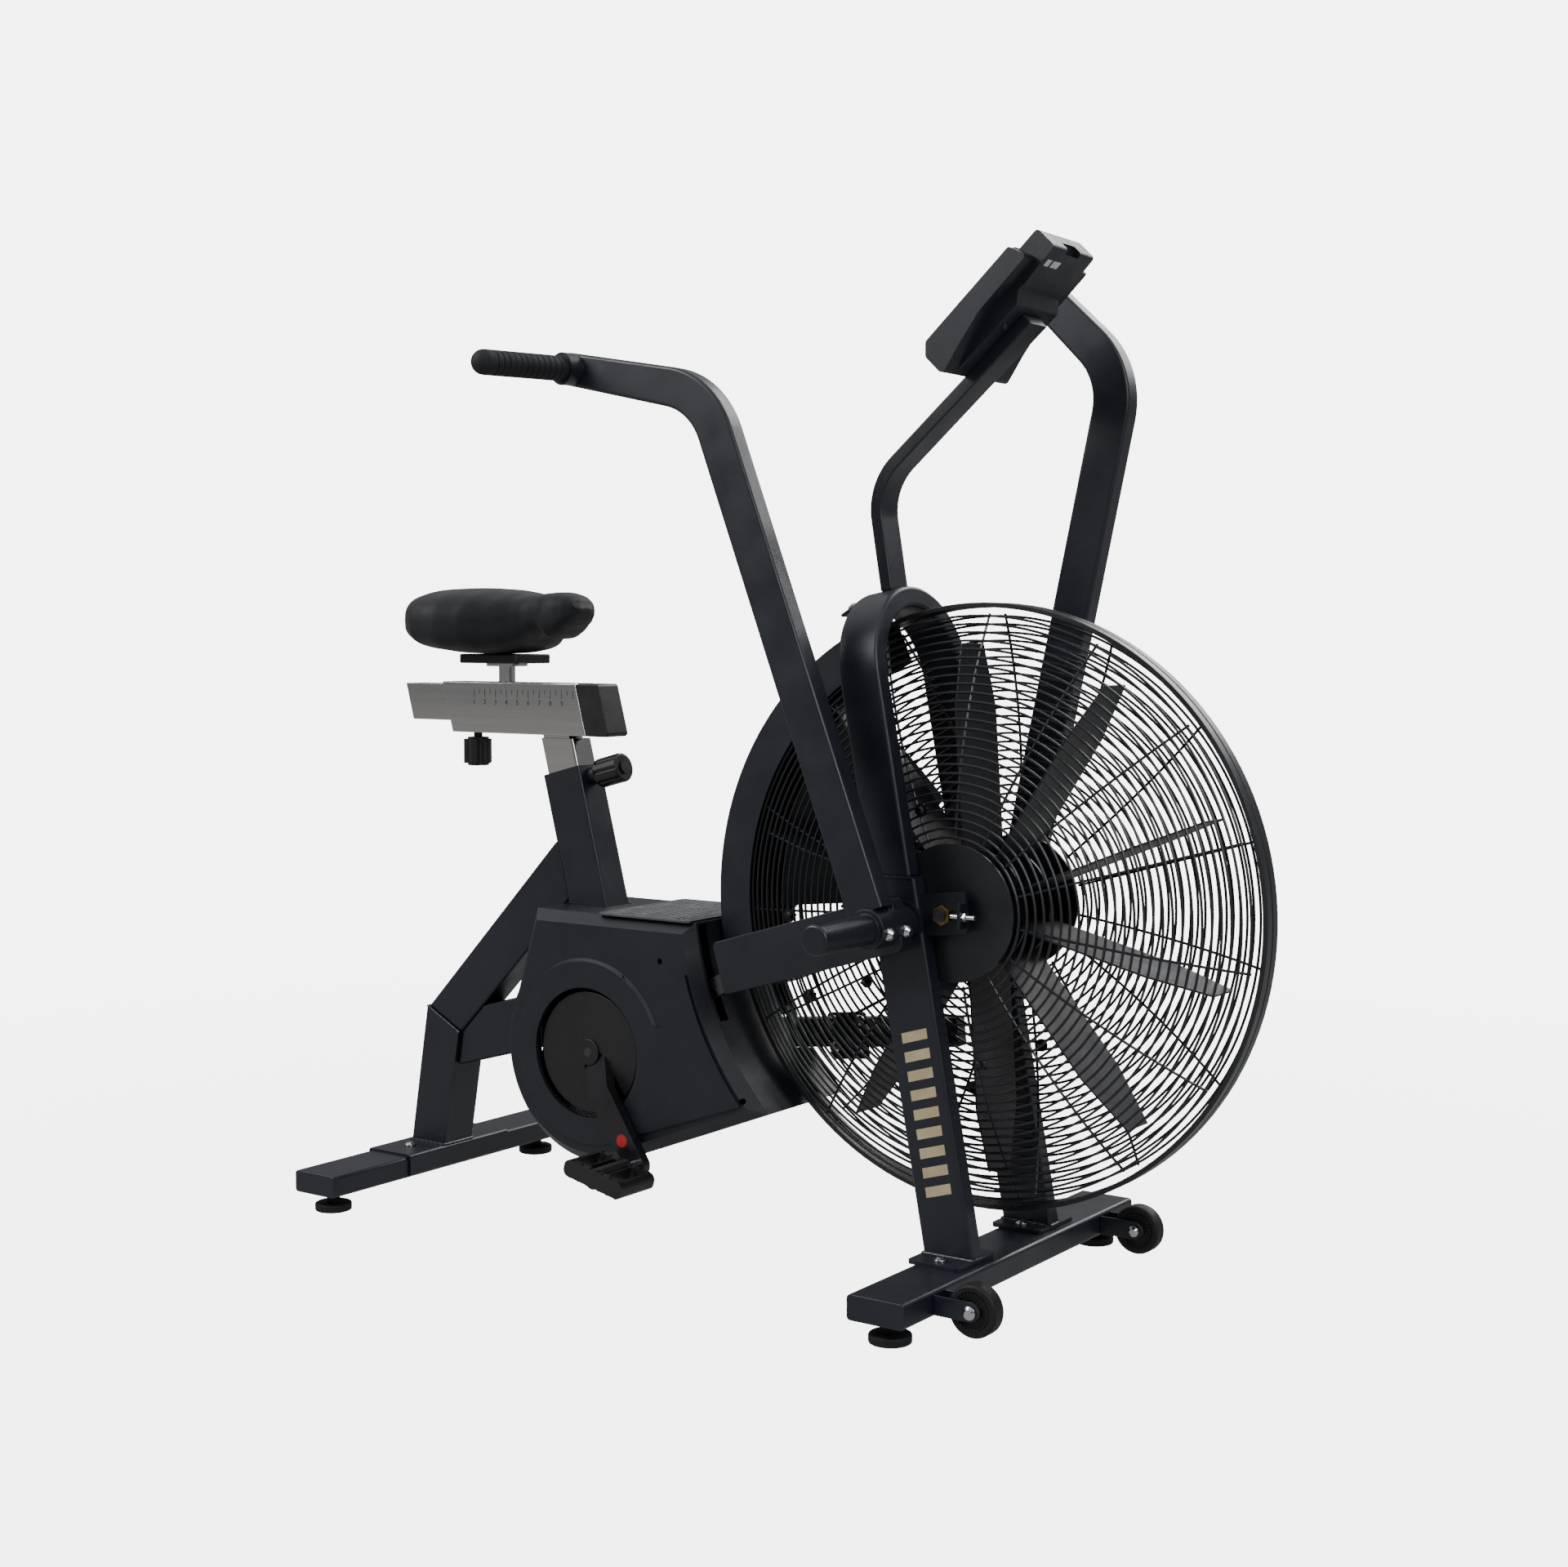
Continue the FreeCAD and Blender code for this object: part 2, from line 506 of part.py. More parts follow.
keep("drive_pulley", web.cut(Part.makeCompound(windows)).fuse([rim, hub_boss]).removeSplitter())
BELT_T = 3.5
belt_out = two_circles(FAN_X, FAN_Z, FAN_PULLEY_R + BELT_T, CRANK_X, CRANK_Z, PULLEY_R + BELT_T,
                       BELT_Y0, BELT_Y1)
belt_in = two_circles(FAN_X, FAN_Z, FAN_PULLEY_R + 0.1, CRANK_X, CRANK_Z, PULLEY_R + 0.1,
                      BELT_Y0 - 1, BELT_Y1 + 1)
keep("drive_belt", belt_out.cut(belt_in))

ARM_IN, ARM_OUT = 76.0, 118.0


def crank_arm():
    """Arm of the right crank lying along +X from the origin, before it is turned."""
    side = [(-22, -76), (12, -76), (62, -103), (184, -105), (184, -118), (56, -117), (8, -90), (-22, -90)]
    face = Part.Face(Part.makePolygon([V(x, y, -30) for x, y in side + side[:1]]))
    body = face.extrude(V(0, 0, 60))
    plan = two_circles(0, 0, 21.0, CRANK_LEN, 0, 15.0, -130, -60)
    return body.common(plan)


def place_crank(shape, angle):
    moved = shape.copy()
    moved.rotate(V(0, 0, 0), V(0, 1, 0), -angle)
    moved.translate(V(CRANK_X, 0, CRANK_Z))
    return moved


SPINDLE_R = 5.0
arm = crank_arm().cut(cyl_y(0, 0, -100, -60, AXLE_R)).cut(cyl_y(CRANK_LEN, 0, -130, -90, 8.0))
spindle = cyl_y(CRANK_LEN, 0, -134, -105, 8.0).fuse(cyl_y(CRANK_LEN, 0, -196, -134, SPINDLE_R))
wedge = prism([(9, -19), (100, -19), (100, 19), (9, 19)], -96, -84, [8, 0, 0, 8])
cover = round_rims(cyl_y(0, 0, -94.5, -90.4, 80), 1.2)
cover = cover.cut(wedge).cut(arm)
plug = round_rims(cyl_y(0, 0, -97.0, -94.5, 17.5), 1.0)
cover = cover.fuse(plug.cut(wedge).cut(arm)).removeSplitter()
crank_bolt = hexagon_y(0, 0, -89.8, -84, 17).cut(arm)
keep("crank_arm_right", place_crank(arm, CRANK_ANGLE))
keep("crank_arm_left", mirror(place_crank(arm, CRANK_ANGLE + 180)))
keep("crank_covers", place_crank(cover, CRANK_ANGLE), mirror(place_crank(cover, CRANK_ANGLE + 180)))
crank_bolts = []
for piece in (crank_bolt, spindle):
    crank_bolts.append(place_crank(piece, CRANK_ANGLE))
    crank_bolts.append(mirror(place_crank(piece, CRANK_ANGLE + 180)))
keep("crank_bolts", crank_bolts)

PEDAL_TILT = -13.0


def pedal(angle):
    """Platform cage with a barrel on the spindle, on the right side."""
    px, pz = polar(CRANK_X, CRANK_Z, CRANK_LEN, angle)
    outer = soften(box(-48, 48, -203, -137, -11, 11), 9.0, V(0, 1, 0))
    for x0, x1 in ((-38, -16), (16, 38)):
        outer = outer.cut(soften(box(x0, x1, -195, -145, -20, 20), 5.0, V(0, 0, 1)))
    outer = outer.cut(box(-15, 15, -195, -145, -20, 20).cut(cyl_y(0, 0, -200, -140, 13)))
    for z in (-11, 11):
        for y in (-199, -141):
            outer = outer.fuse([box(x - 1.5, x + 1.5, y - 2, y + 2, z - 1.5, z + 1.5)
                                for x in (-38, -24, -10, 10, 24, 38)])
    body = outer.fuse(cyl_y(0, 0, -203, -136, 13))
    body = body.cut(cyl_y(0, 0, -198, -130, SPINDLE_R + 0.05)).removeSplitter()
    body.rotate(V(0, 0, 0), V(0, 1, 0), -PEDAL_TILT)
    body.translate(V(px, 0, pz))
    return body


keep("pedal_right", pedal(CRANK_ANGLE))
keep("pedal_left", mirror(pedal(CRANK_ANGLE + 180)))

# ---------------------------------------------------------------- levers, rockers, rods
LEVER_Y0, LEVER_Y1, LEVER_W, LEVER_TIP_W = 155.0, 183.0, 50.0, 40.0
LEVER_LEN, LEVER_ANGLE, LEVER_BEND, LEVER_UPPER = 672.0, 94.65, 57.7, 204.0
LEVER_BEND_R = 95.0
HUB_R, HUB_Y0, HUB_Y1, STUB_R = 24.0, 120.0, 298.0, 12.5
PEG_R, PEG_Y0 = 18.0, 190.0
ROCKER_Y0, ROCKER_Y1, ROCKER_H, ROCKER_END = 126.0, 150.0, 65.0, 251.0

bend = polar(PIVOT_X, PIVOT_Z, LEVER_LEN, LEVER_ANGLE)
grip_at = polar(*bend, LEVER_UPPER, LEVER_ANGLE + LEVER_BEND)
lever_low = polar(PIVOT_X, PIVOT_Z, 20.0, LEVER_ANGLE)
miter = LEVER_W / 2 / math.cos(math.radians(LEVER_BEND / 2))
miter_angle = LEVER_ANGLE + LEVER_BEND / 2 + 90
tip = polar(*bend, LEVER_UPPER + 20, LEVER_ANGLE + LEVER_BEND)
lever_outline = [
    polar(*lever_low, LEVER_W / 2, LEVER_ANGLE + 90),
    polar(*lever_low, LEVER_W / 2, LEVER_ANGLE - 90),
    polar(*bend, miter, miter_angle + 180),
    polar(*tip, LEVER_TIP_W / 2, LEVER_ANGLE + LEVER_BEND - 90),
    polar(*tip, LEVER_TIP_W / 2, LEVER_ANGLE + LEVER_BEND + 90),
    polar(*bend, miter, miter_angle),
]
lever_radii = [0, 0, LEVER_BEND_R + LEVER_W / 2, 12, 12, LEVER_BEND_R - LEVER_W / 2]
GRIP_DIR = V(-0.137, -1.0, 0.014).normalize()
COLLAR_R, GRIP_R, GRIP_CORE_R = 20.0, 15.5, 12.0
GRIP_Y0, GRIP_Y1 = 201.0, 325.0


def on_grip(y):
    """Point on the right grip's centre line at a distance out from the middle."""
    return pt(grip_at, -LEVER_Y1) + GRIP_DIR * ((y - LEVER_Y1) / -GRIP_DIR.y)


def along_grip(y0, y1, r):
    a, b = on_grip(y0), on_grip(y1)
    return Part.makeCylinder(r, (b - a).Length, a, GRIP_DIR)


def grip_sleeve():
    """Ribbed rubber sleeve with a blind bore and a domed end."""
    def along(y):
        return (y - LEVER_Y1) / -GRIP_DIR.y

    start, stop = along(GRIP_Y0), along(GRIP_Y1)
    points = [V(GRIP_CORE_R, 0, stop), V(GRIP_CORE_R, 0, start), V(GRIP_R, 0, start)]
    for i in range(12):
        z0, z1 = along(GRIP_Y0 + 11 + 9 * i), along(GRIP_Y0 + 12.6 + 9 * i)
        points += [V(GRIP_R, 0, z0), V(GRIP_R - 0.7, 0, z0), V(GRIP_R - 0.7, 0, z1), V(GRIP_R, 0, z1)]
    end = along(GRIP_Y1 - 2)
    points.append(V(GRIP_R, 0, end))
    c45 = GRIP_R * math.cos(math.radians(45))
    edges = Part.makePolygon(points).Edges
    edges.append(Part.Arc(points[-1], V(c45, 0, end + c45), V(0, 0, end + GRIP_R)).toShape())
    edges.append(Part.LineSegment(V(0, 0, end + GRIP_R), V(0, 0, stop)).toShape())
    edges.append(Part.LineSegment(V(0, 0, stop), points[0]).toShape())
    sleeve = Part.Face(Part.Wire(edges)).revolve(V(0, 0, 0), V(0, 0, 1), 360)
    sleeve.Placement = FreeCAD.Placement(pt(grip_at, -LEVER_Y1), FreeCAD.Rotation(V(0, 0, 1), GRIP_DIR))
    return sleeve


def lever_parts():
    """Right lever in the middle of its travel."""
    arm_body = prism(lever_outline, -LEVER_Y1, -LEVER_Y0, lever_radii)
    edges = [e for e in arm_body.Edges if abs(e.BoundBox.YLength) < 1e-3 and e.Length > 60]
    arm_body = arm_body.makeFillet(4.0, edges)
    arm_body = arm_body.cut(cyl_y(PIVOT_X, PIVOT_Z, -200, -140, HUB_R))
    outboard = box(-900, 900, -400, -LEVER_Y1 + 6, 0, 2000)
    collar = along_grip(170, GRIP_Y0, COLLAR_R).common(outboard)
    core = along_grip(GRIP_Y0 - 1, GRIP_Y1, GRIP_CORE_R)
    arm_body = arm_body.fuse([collar, core]).removeSplitter()
    rubber = grip_sleeve()
    hub_tube = cyl_y(PIVOT_X, PIVOT_Z, -HUB_Y1, -HUB_Y0, PEG_R)
    hub_tube = hub_tube.makeFillet(4.0, [e for e in hub_tube.Edges if e.CenterOfMass.y < -HUB_Y1 + 1])
    hub_tube = hub_tube.fuse(cyl_y(PIVOT_X, PIVOT_Z, -PEG_Y0, -HUB_Y0, HUB_R))
    rocker = prism([(PIVOT_X + 18, PIVOT_Z + ROCKER_H / 2), (PIVOT_X + 18, PIVOT_Z - ROCKER_H / 2),
                    (PIVOT_X - ROCKER_END, PIVOT_Z - ROCKER_H / 2),
                    (PIVOT_X - ROCKER_END, PIVOT_Z + ROCKER_H / 2)],
                   -ROCKER_Y1, -ROCKER_Y0, [10, 10, 6, 6])
    pin = cyl_y(PIVOT_X - ROCKER_PIN, PIVOT_Z, -ROCKER_Y0 - 5, -66.0, 8.0)
    pin_head = cyl_y(PIVOT_X - ROCKER_PIN, PIVOT_Z, -ROCKER_Y0, -76.0, 13.0)
    hub_tube = hub_tube.fuse([rocker, pin, pin_head]).removeSplitter()
    hub_tube = hub_tube.cut(cyl_y(PIVOT_X, PIVOT_Z, -292, -100, STUB_R + 0.05))
    out = V(20, 0, -10).normalize()
    nuts = []
    for y in (-141, -177):
        p = V(PIVOT_X, y, PIVOT_Z) + out * (HUB_R - 1.5)
        nuts.append(dome(p.x, p.y, p.z, 8.0, 9.0, out).cut(hub_tube))
    return {"lever": arm_body, "grip": rubber, "lever_hub": hub_tube, "lever_nuts": nuts}


for stem, piece in lever_parts().items():
    pieces = piece if isinstance(piece, list) else [piece]
    keep(stem + "_right", [lever_turn(p, -LEVER_REST) for p in pieces])
    keep(stem + "_left", [mirror(lever_turn(p, LEVER_REST)) for p in pieces])

stub = cyl_y(PIVOT_X, PIVOT_Z, -290, -108, STUB_R)
stub_flange = cyl_y(PIVOT_X, PIVOT_Z, -113, -108, 27)
bushing = cyl_y(PIVOT_X, PIVOT_Z, -119, -113, 22)
keep("pivot_shafts", both(stub.fuse([stub_flange, bushing]).removeSplitter()))

ROD_EYE_R = 55.5


def rod(pin_at, eye_at, y0, y1):
    ends = [cyl_y(*pin_at, y0, y1, 17), bar(pin_at, eye_at, 24, y0, y1)]
    ring = cyl_y(*eye_at, y0, y1, ROD_EYE_R + 8).fuse(ends)
    ring = ring.cut(cyl_y(*eye_at, y0 - 1, y1 + 1, ROD_EYE_R))
    return ring.cut(cyl_y(*pin_at, y0 - 1, y1 + 1, 8.05)).removeSplitter()


pin_right = polar(PIVOT_X, PIVOT_Z, ROCKER_PIN, 180 + LEVER_REST)
pin_left = polar(PIVOT_X, PIVOT_Z, ROCKER_PIN, 180 - LEVER_REST)
keep("rod_right", rod(pin_right, ecc_right, -ROD_Y1, -ROD_Y0))
keep("rod_left", rod(pin_left, ecc_left, ROD_Y0, ROD_Y1))

# ---------------------------------------------------------------- drive cover
SHROUD_Y, SHROUD_WALL, SHROUD_R, SHROUD_TOP = 98.0, 3.0, 148.0, 424.0
OPENING_R, RAISED_R, SHROUD_BEVEL = 86.0, 126.0, 14.0
FRONT_ARC_R = 376.0


def shroud_face(y, inset):
    """Side outline of the drive cover, drawn in by `inset`."""
    r = SHROUD_R - inset
    top = SHROUD_TOP - inset
    rf = FRONT_ARC_R + inset
    low = polar(CRANK_X, CRANK_Z, r, 291.5)
    rear = polar(CRANK_X, CRANK_Z, r, 152.4)
    a_top = 180 + math.degrees(math.asin((FAN_Z - top) / rf))
    a_low = 226.3 - math.degrees(inset * 0.9 / rf)
    f_top, f_low = polar(FAN_X, FAN_Z, rf, a_top), polar(FAN_X, FAN_Z, rf, a_low)
    f_mid = polar(FAN_X, FAN_Z, rf, (a_top + a_low) / 2)
    back = (-350 + inset, top)
    edges = [
        Part.Arc(pt(low, y), pt(polar(CRANK_X, CRANK_Z, r, 222), y), pt(rear, y)).toShape(),
        Part.LineSegment(pt(rear, y), pt(back, y)).toShape(),
        Part.LineSegment(pt(back, y), pt(f_top, y)).toShape(),
        Part.Arc(pt(f_top, y), pt(f_mid, y), pt(f_low, y)).toShape(),
        Part.LineSegment(pt(f_low, y), pt(low, y)).toShape(),
    ]
    return Part.Face(Part.Wire(edges))


def shroud_half():
    """Left half of the drive cover."""
    y0 = 0.25
    outer = shroud_face(y0, 0).extrude(V(0, SHROUD_Y - y0, 0))
    outer = outer.makeChamfer(SHROUD_BEVEL, [e for e in outer.Edges if e.BoundBox.YMin > SHROUD_Y - 1])
    cavity = shroud_face(0, SHROUD_WALL).extrude(V(0, SHROUD_Y - SHROUD_WALL, 0))
    cavity = cavity.makeChamfer(SHROUD_BEVEL - 1.8,
                                [e for e in cavity.Edges if e.BoundBox.YMin > SHROUD_Y - SHROUD_WALL - 1])
    raised = Part.makeCone(RAISED_R, RAISED_R - 5.0, 5.0, V(CRANK_X, SHROUD_Y - 1.5, CRANK_Z), V(0, 1, 0))
    half = outer.cut(cavity).fuse(raised).cut(cyl_y(CRANK_X, CRANK_Z, 80, 110, OPENING_R))
    for hx, hz in ((-132, 372), (-2, 206)):
        half = half.cut(cyl_y(hx, hz, 90, 110, 4.0))
    passages = [
        bar(on_seat(-310), on_seat(90), SEAT_TUBE_W + 3, -27, 27),
        bar((-620, 199), (-250, 299), 82, -24, 24),
        bar((-613, 225), (-330, 506), 64, -27, 27),
    ]
    return half.cut(Part.makeCompound(passages[:1])).cut(passages[1]).cut(passages[2])


half_left = shroud_half()
half_right = mirror(half_left)
rod_slot = prism([(-125, 300), (-125, 421), (-40, 421), (-40, 300)], 62, 79, [8, 0, 0, 8])
beam_slot = bar((-134, 253.5), (120, 281), 44, 74, 112, 4)
belt_slot = bar((-125, 303), (60, 379), 178, 50, 62)
half_left = half_left.cut(rod_slot).cut(beam_slot).cut(belt_slot)
half_right = half_right.cut(mirror(rod_slot))
keep("shroud_left", half_left.removeSplitter())
keep("shroud_right", half_right.removeSplitter())

tread = box(-240, -88, -94, 94, SHROUD_TOP, SHROUD_TOP + 3)
tread = soften(tread, 8.0, V(0, 0, 1))
ribs = [box(-232 + 9.6 * i, -229 + 9.6 * i, -86, 86, SHROUD_TOP + 3, SHROUD_TOP + 4.2) for i in range(15)]
keep("step_plate", tread.fuse(ribs).removeSplitter())

# ---------------------------------------------------------------- seat
post_body = bar(on_seat(-180), on_seat(118), SEAT_POST_W, -SEAT_POST_T / 2, SEAT_POST_T / 2)
post_body = soften(post_body, 3.5, seat_dir)
post_body = post_body.cut(box(-500, -200, -30, 30, 648, 760))
neck = prism([(-397, 640), (-351, 640), (-358, 668), (-404, 668)], -14, 14)
SLIDE_Z0, SLIDE_Z1, SLIDE_HALF, SLIDE_T = 652.0, 723.0, 22.0, 3.0
slant = math.tan(math.radians(15))


def slanted(x_rear, x_front, half, z0, z1):
    """Tube length whose ends slope back at the angle of the seat tube, X given at Z 652."""
    s0, s1 = (z0 - SLIDE_Z0) * slant, (z1 - SLIDE_Z0) * slant
    return prism([(x_rear - s0, z0), (x_front - s0, z0), (x_front - s1, z1), (x_rear - s1, z1)], -half, half)


inner_z0, inner_z1 = 668.0, SLIDE_Z1 - SLIDE_T - 0.4
inner = slanted(-637, -335, SLIDE_HALF - SLIDE_T - 0.4, inner_z0, inner_z1)
inner_bore = slanted(-700, -300, SLIDE_HALF - SLIDE_T - 3, inner_z0 + 3, inner_z1 - 3)
keep("slider_inner", inner.cut(inner_bore))
keep("seat_post", post_body.fuse(neck).removeSplitter())
outer_tube = slanted(-562, -318, SLIDE_HALF, SLIDE_Z0, SLIDE_Z1)
outer_tube = outer_tube.cut(slanted(-700, -200, SLIDE_HALF - SLIDE_T, SLIDE_Z0 + SLIDE_T, SLIDE_Z1 - SLIDE_T))
outer_tube = outer_tube.cut(box(-508, -300, -15, 15, 640, 660))
keep("slider_outer", outer_tube)
cap = slanted(-317.8, -278, SLIDE_HALF, SLIDE_Z0, SLIDE_Z1)
cap = soften(cap, 5.0, V(0, 1, 0)).cut(box(-345, -300, -15, 15, 640, 660))
keep("slider_cap", cap)

SADDLE_X = -478.0
saddle_post = cyl_z(SADDLE_X, 0, SLIDE_Z1, 745, 11.5).fuse(cyl_z(SADDLE_X, 0, 745, 749, 28.5))
keep("saddle_post", saddle_post.removeSplitter())
clamp = soften(box(-536, -428, -38, 38, 749, 762), 8.0, V(0, 0, 1))
keep("saddle_clamp", clamp)


def saddle_section(x, half, z0, z1):
    """Closed crowned section across the saddle."""
    crown = z1 - 0.10 * half
    points = [V(x, -half, z0 + 10), V(x, -half * 0.94, z0 + 0.62 * (z1 - z0)), V(x, -half * 0.6, crown),
              V(x, 0, z1 - 3), V(x, half * 0.6, crown), V(x, half * 0.94, z0 + 0.62 * (z1 - z0)),
              V(x, half, z0 + 10), V(x, half * 0.5, z0), V(x, -half * 0.5, z0)]
    curve = Part.BSplineCurve()
    curve.interpolate(points, PeriodicFlag=True)
    return Part.Wire(curve.toShape())


sections = [(-588, 62, 790, 832), (-572, 104, 774, 846), (-535, 124, 764, 853), (-485, 118, 763, 851),
            (-440, 84, 764, 846), (-400, 54, 768, 845), (-360, 42, 778, 846), (-334, 32, 793, 842),
            (-324, 20, 804, 832)]
saddle = Part.makeLoft([saddle_section(*s) for s in sections], True, False)
keep("saddle", saddle.cut(clamp))

KNOB_X = -533.0
lobes = [cyl_z(*[KNOB_X + 13 * math.cos(math.radians(72 * i)), 13 * math.sin(math.radians(72 * i))],
               608, 642, 7.5) for i in range(5)]
knob = cyl_z(KNOB_X, 0, 605, 645, 15).fuse(lobes).removeSplitter()
keep("slider_knob", knob.fuse(cyl_z(KNOB_X, 0, 645, SLIDE_Z0 - 0.2, 6)).removeSplitter())

barrel = Part.makeCylinder(20, 42, knob_foot + knob_axis * 15.5, knob_axis)
barrel = round_rims(barrel, 3.5)
grip_cuts = []
for i in range(8):
    a = math.radians(45 * i)
    side_dir = seat_dir * math.cos(a) + V(0, 1, 0) * math.sin(a)
    grip_cuts.append(Part.makeCylinder(4.5, 60, knob_foot + knob_axis * 20 + side_dir * 22.5, knob_axis))
barrel = barrel.cut(Part.makeCompound(grip_cuts))
pin = Part.makeCylinder(5.0, 24, knob_foot - knob_axis * 3.5, knob_axis)
end_cap = Part.makeCylinder(9, 2.5, knob_foot + knob_axis * 57.5, knob_axis)
keep("post_pin_knob", barrel.fuse([pin, end_cap]).removeSplitter())

# ---------------------------------------------------------------- mast and console
MAST_FOOT, MAST_KNEE, MAST_HEAD, MAST_BEND_R = (158, 842), (136, 972), (349, 1157), 75.0


def bent_strip(a, b, c, width, y0, y1, bend_r):
    """Flat tube along two runs with a rounded bend to the right between them."""
    first = math.degrees(math.atan2(b[1] - a[1], b[0] - a[0]))
    second = math.degrees(math.atan2(c[1] - b[1], c[0] - b[0]))
    half = width / 2
    reach = half / math.cos(math.radians((first - second) / 2))
    across = (first + second) / 2 - 90
    outline = [polar(*a, half, first - 90), polar(*b, reach, across), polar(*c, half, second - 90),
               polar(*c, half, second + 90), polar(*b, reach, across + 180), polar(*a, half, first + 90)]
    return prism(outline, y0, y1, [0, bend_r - half, 0, 0, bend_r + half, 0])


mast = bent_strip(MAST_FOOT, MAST_KNEE, MAST_HEAD, MAST_T, -MAST_W / 2, MAST_W / 2, MAST_BEND_R)
mast_tab = bar((136, 837), (96, 813), 4.0, -27, 27)
mast_tab = mast_tab.cut(NODES["fan_arch"]).cut(mast)
keep("console_mast", mast.cut(NODES["fan_arch"]), max(mast_tab.Solids, key=lambda s: s.Volume))
tab_up = V(-24, 0, 40).normalize()
tab_spot = V(110, 0, 821.4) + tab_up * 2.0
frame_bolts += both(dome(tab_spot.x, 16, tab_spot.z, 7.5, 5.0, tab_up))

main = prism([(245, 1132), (245, 1114), (268, 1092), (292, 1128), (318, 1163), (378, 1219), (354, 1231)],
             -76, 76, [6, 6, 6, 6, 6, 4, 4])
top_part = prism([(340, 1219), (377, 1253), (400, 1231), (383, 1214), (360, 1190)], -50, 50, [0, 5, 5, 3, 0])
slope_dir = V(354 - 245, 0, 1231 - 1132).normalize()
face_normal = V(-slope_dir.z, 0, slope_dir.x)
face_mid = V(304, 0, 1185.6)


def on_face(u, n):
    """XZ point at u along the console face and n out of it."""
    p = face_mid + slope_dir * u + face_normal * n
    return (p.x, p.z)


def face_block(u0, u1, y0, y1, n0, n1):
    """Block on the console face."""
    return prism([on_face(u0, n0), on_face(u1, n0), on_face(u1, n1), on_face(u0, n1)], y0, y1)


rear_outline = [(-84, -43), (-84, -15), (60, -15), (60, -32.5), (36, -33.5), (24, -44)]
rear_block = prism([on_face(u, n) for u, n in rear_outline], -50, 50, [5, 0, 0, 0, 3, 4])
back = face_normal * -1
bosses = []
for u in (-48, -8):
    x, z = on_face(u, -43.5)
    bosses += both(dome(x, 36, z, 4.5, 4.0, back))
housing = main.fuse([top_part, rear_block] + bosses).removeSplitter()
mast_hole = bar(MAST_KNEE, (351, 1158.7), MAST_T + 0.2, -MAST_W / 2 - 0.1, MAST_W / 2 + 0.1)
housing = housing.cut(mast_hole)
screen = face_block(-48, 50, -56, 56, -3, 0.6)
housing = housing.cut(face_block(-48, 50, -56, 56, -3, 20))
port = box(378, 400, -16, 16, 1226, 1240)
housing = housing.cut(port.common(top_part).cut(box(0, 388, -20, 20, 0, 2000)))
keep("console_housing", max(housing.Solids, key=lambda s: s.Volume))
keep("console_screen", screen)
keep("frame_bolts", frame_bolts)

os.makedirs("parts", exist_ok=True)
for name, shape in NODES.items():
    shape.exportStep("parts/" + name + ".step")
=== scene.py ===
"""Air bike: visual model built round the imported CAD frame. Units are metres."""
import json
import math

import bmesh
import bpy
from mathutils import Euler, Matrix, Vector
from mathutils.bvhtree import BVHTree


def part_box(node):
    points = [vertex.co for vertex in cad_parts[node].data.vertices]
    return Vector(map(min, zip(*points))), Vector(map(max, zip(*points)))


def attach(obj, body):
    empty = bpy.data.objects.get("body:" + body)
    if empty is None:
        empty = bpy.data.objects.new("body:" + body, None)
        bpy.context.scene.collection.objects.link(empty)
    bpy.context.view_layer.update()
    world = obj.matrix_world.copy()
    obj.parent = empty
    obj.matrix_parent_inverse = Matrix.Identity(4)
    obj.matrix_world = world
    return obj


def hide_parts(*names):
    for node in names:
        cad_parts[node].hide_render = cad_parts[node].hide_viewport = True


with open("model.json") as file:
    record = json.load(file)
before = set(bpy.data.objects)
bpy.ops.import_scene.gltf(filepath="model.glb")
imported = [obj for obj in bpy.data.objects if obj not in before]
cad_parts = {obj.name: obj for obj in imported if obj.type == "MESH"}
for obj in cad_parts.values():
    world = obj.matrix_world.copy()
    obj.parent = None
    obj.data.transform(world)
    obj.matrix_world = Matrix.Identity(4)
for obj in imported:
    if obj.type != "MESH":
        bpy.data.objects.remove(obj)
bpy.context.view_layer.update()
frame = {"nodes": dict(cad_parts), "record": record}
NODES = frame["nodes"]
BODY = {n: b for b, members in frame["record"]["behaviour"]["bodies"].items() for n in members}
SLOT = {s["node"]: s["material_slot"] for s in frame["record"]["subparts"]}

# ---------------------------------------------------------------- camera
AZIMUTH, DOWN, ROLL = math.radians(34.863), math.radians(3.882), math.radians(0.153)
camera_data = bpy.data.cameras.new("camera")
camera_data.lens = 50.66
camera_data.sensor_width = 36.0
camera_data.clip_end = 60.0
camera = bpy.data.objects.new("camera", camera_data)
bpy.context.scene.collection.objects.link(camera)
camera.location = (1.5997, -2.3063, 0.7910)
look = Vector((-math.sin(AZIMUTH) * math.cos(DOWN), math.cos(AZIMUTH) * math.cos(DOWN), -math.sin(DOWN)))
camera.rotation_euler = (look.to_track_quat("-Z", "Y").to_matrix() @ Matrix.Rotation(ROLL, 3, "Z")).to_euler()
bpy.context.scene.camera = camera


# ---------------------------------------------------------------- materials
def new_material(name, color, rough, metallic=0.0, coat=0.0, spec=0.5):
    m = bpy.data.materials.new(name)
    m.use_nodes = True
    bsdf = m.node_tree.nodes["Principled BSDF"]
    bsdf.inputs["Base Color"].default_value = (*color, 1.0)
    bsdf.inputs["Roughness"].default_value = rough
    bsdf.inputs["Metallic"].default_value = metallic
    bsdf.inputs["Coat Weight"].default_value = coat
    bsdf.inputs["Coat Roughness"].default_value = 0.25
    bsdf.inputs["Specular IOR Level"].default_value = spec
    return m


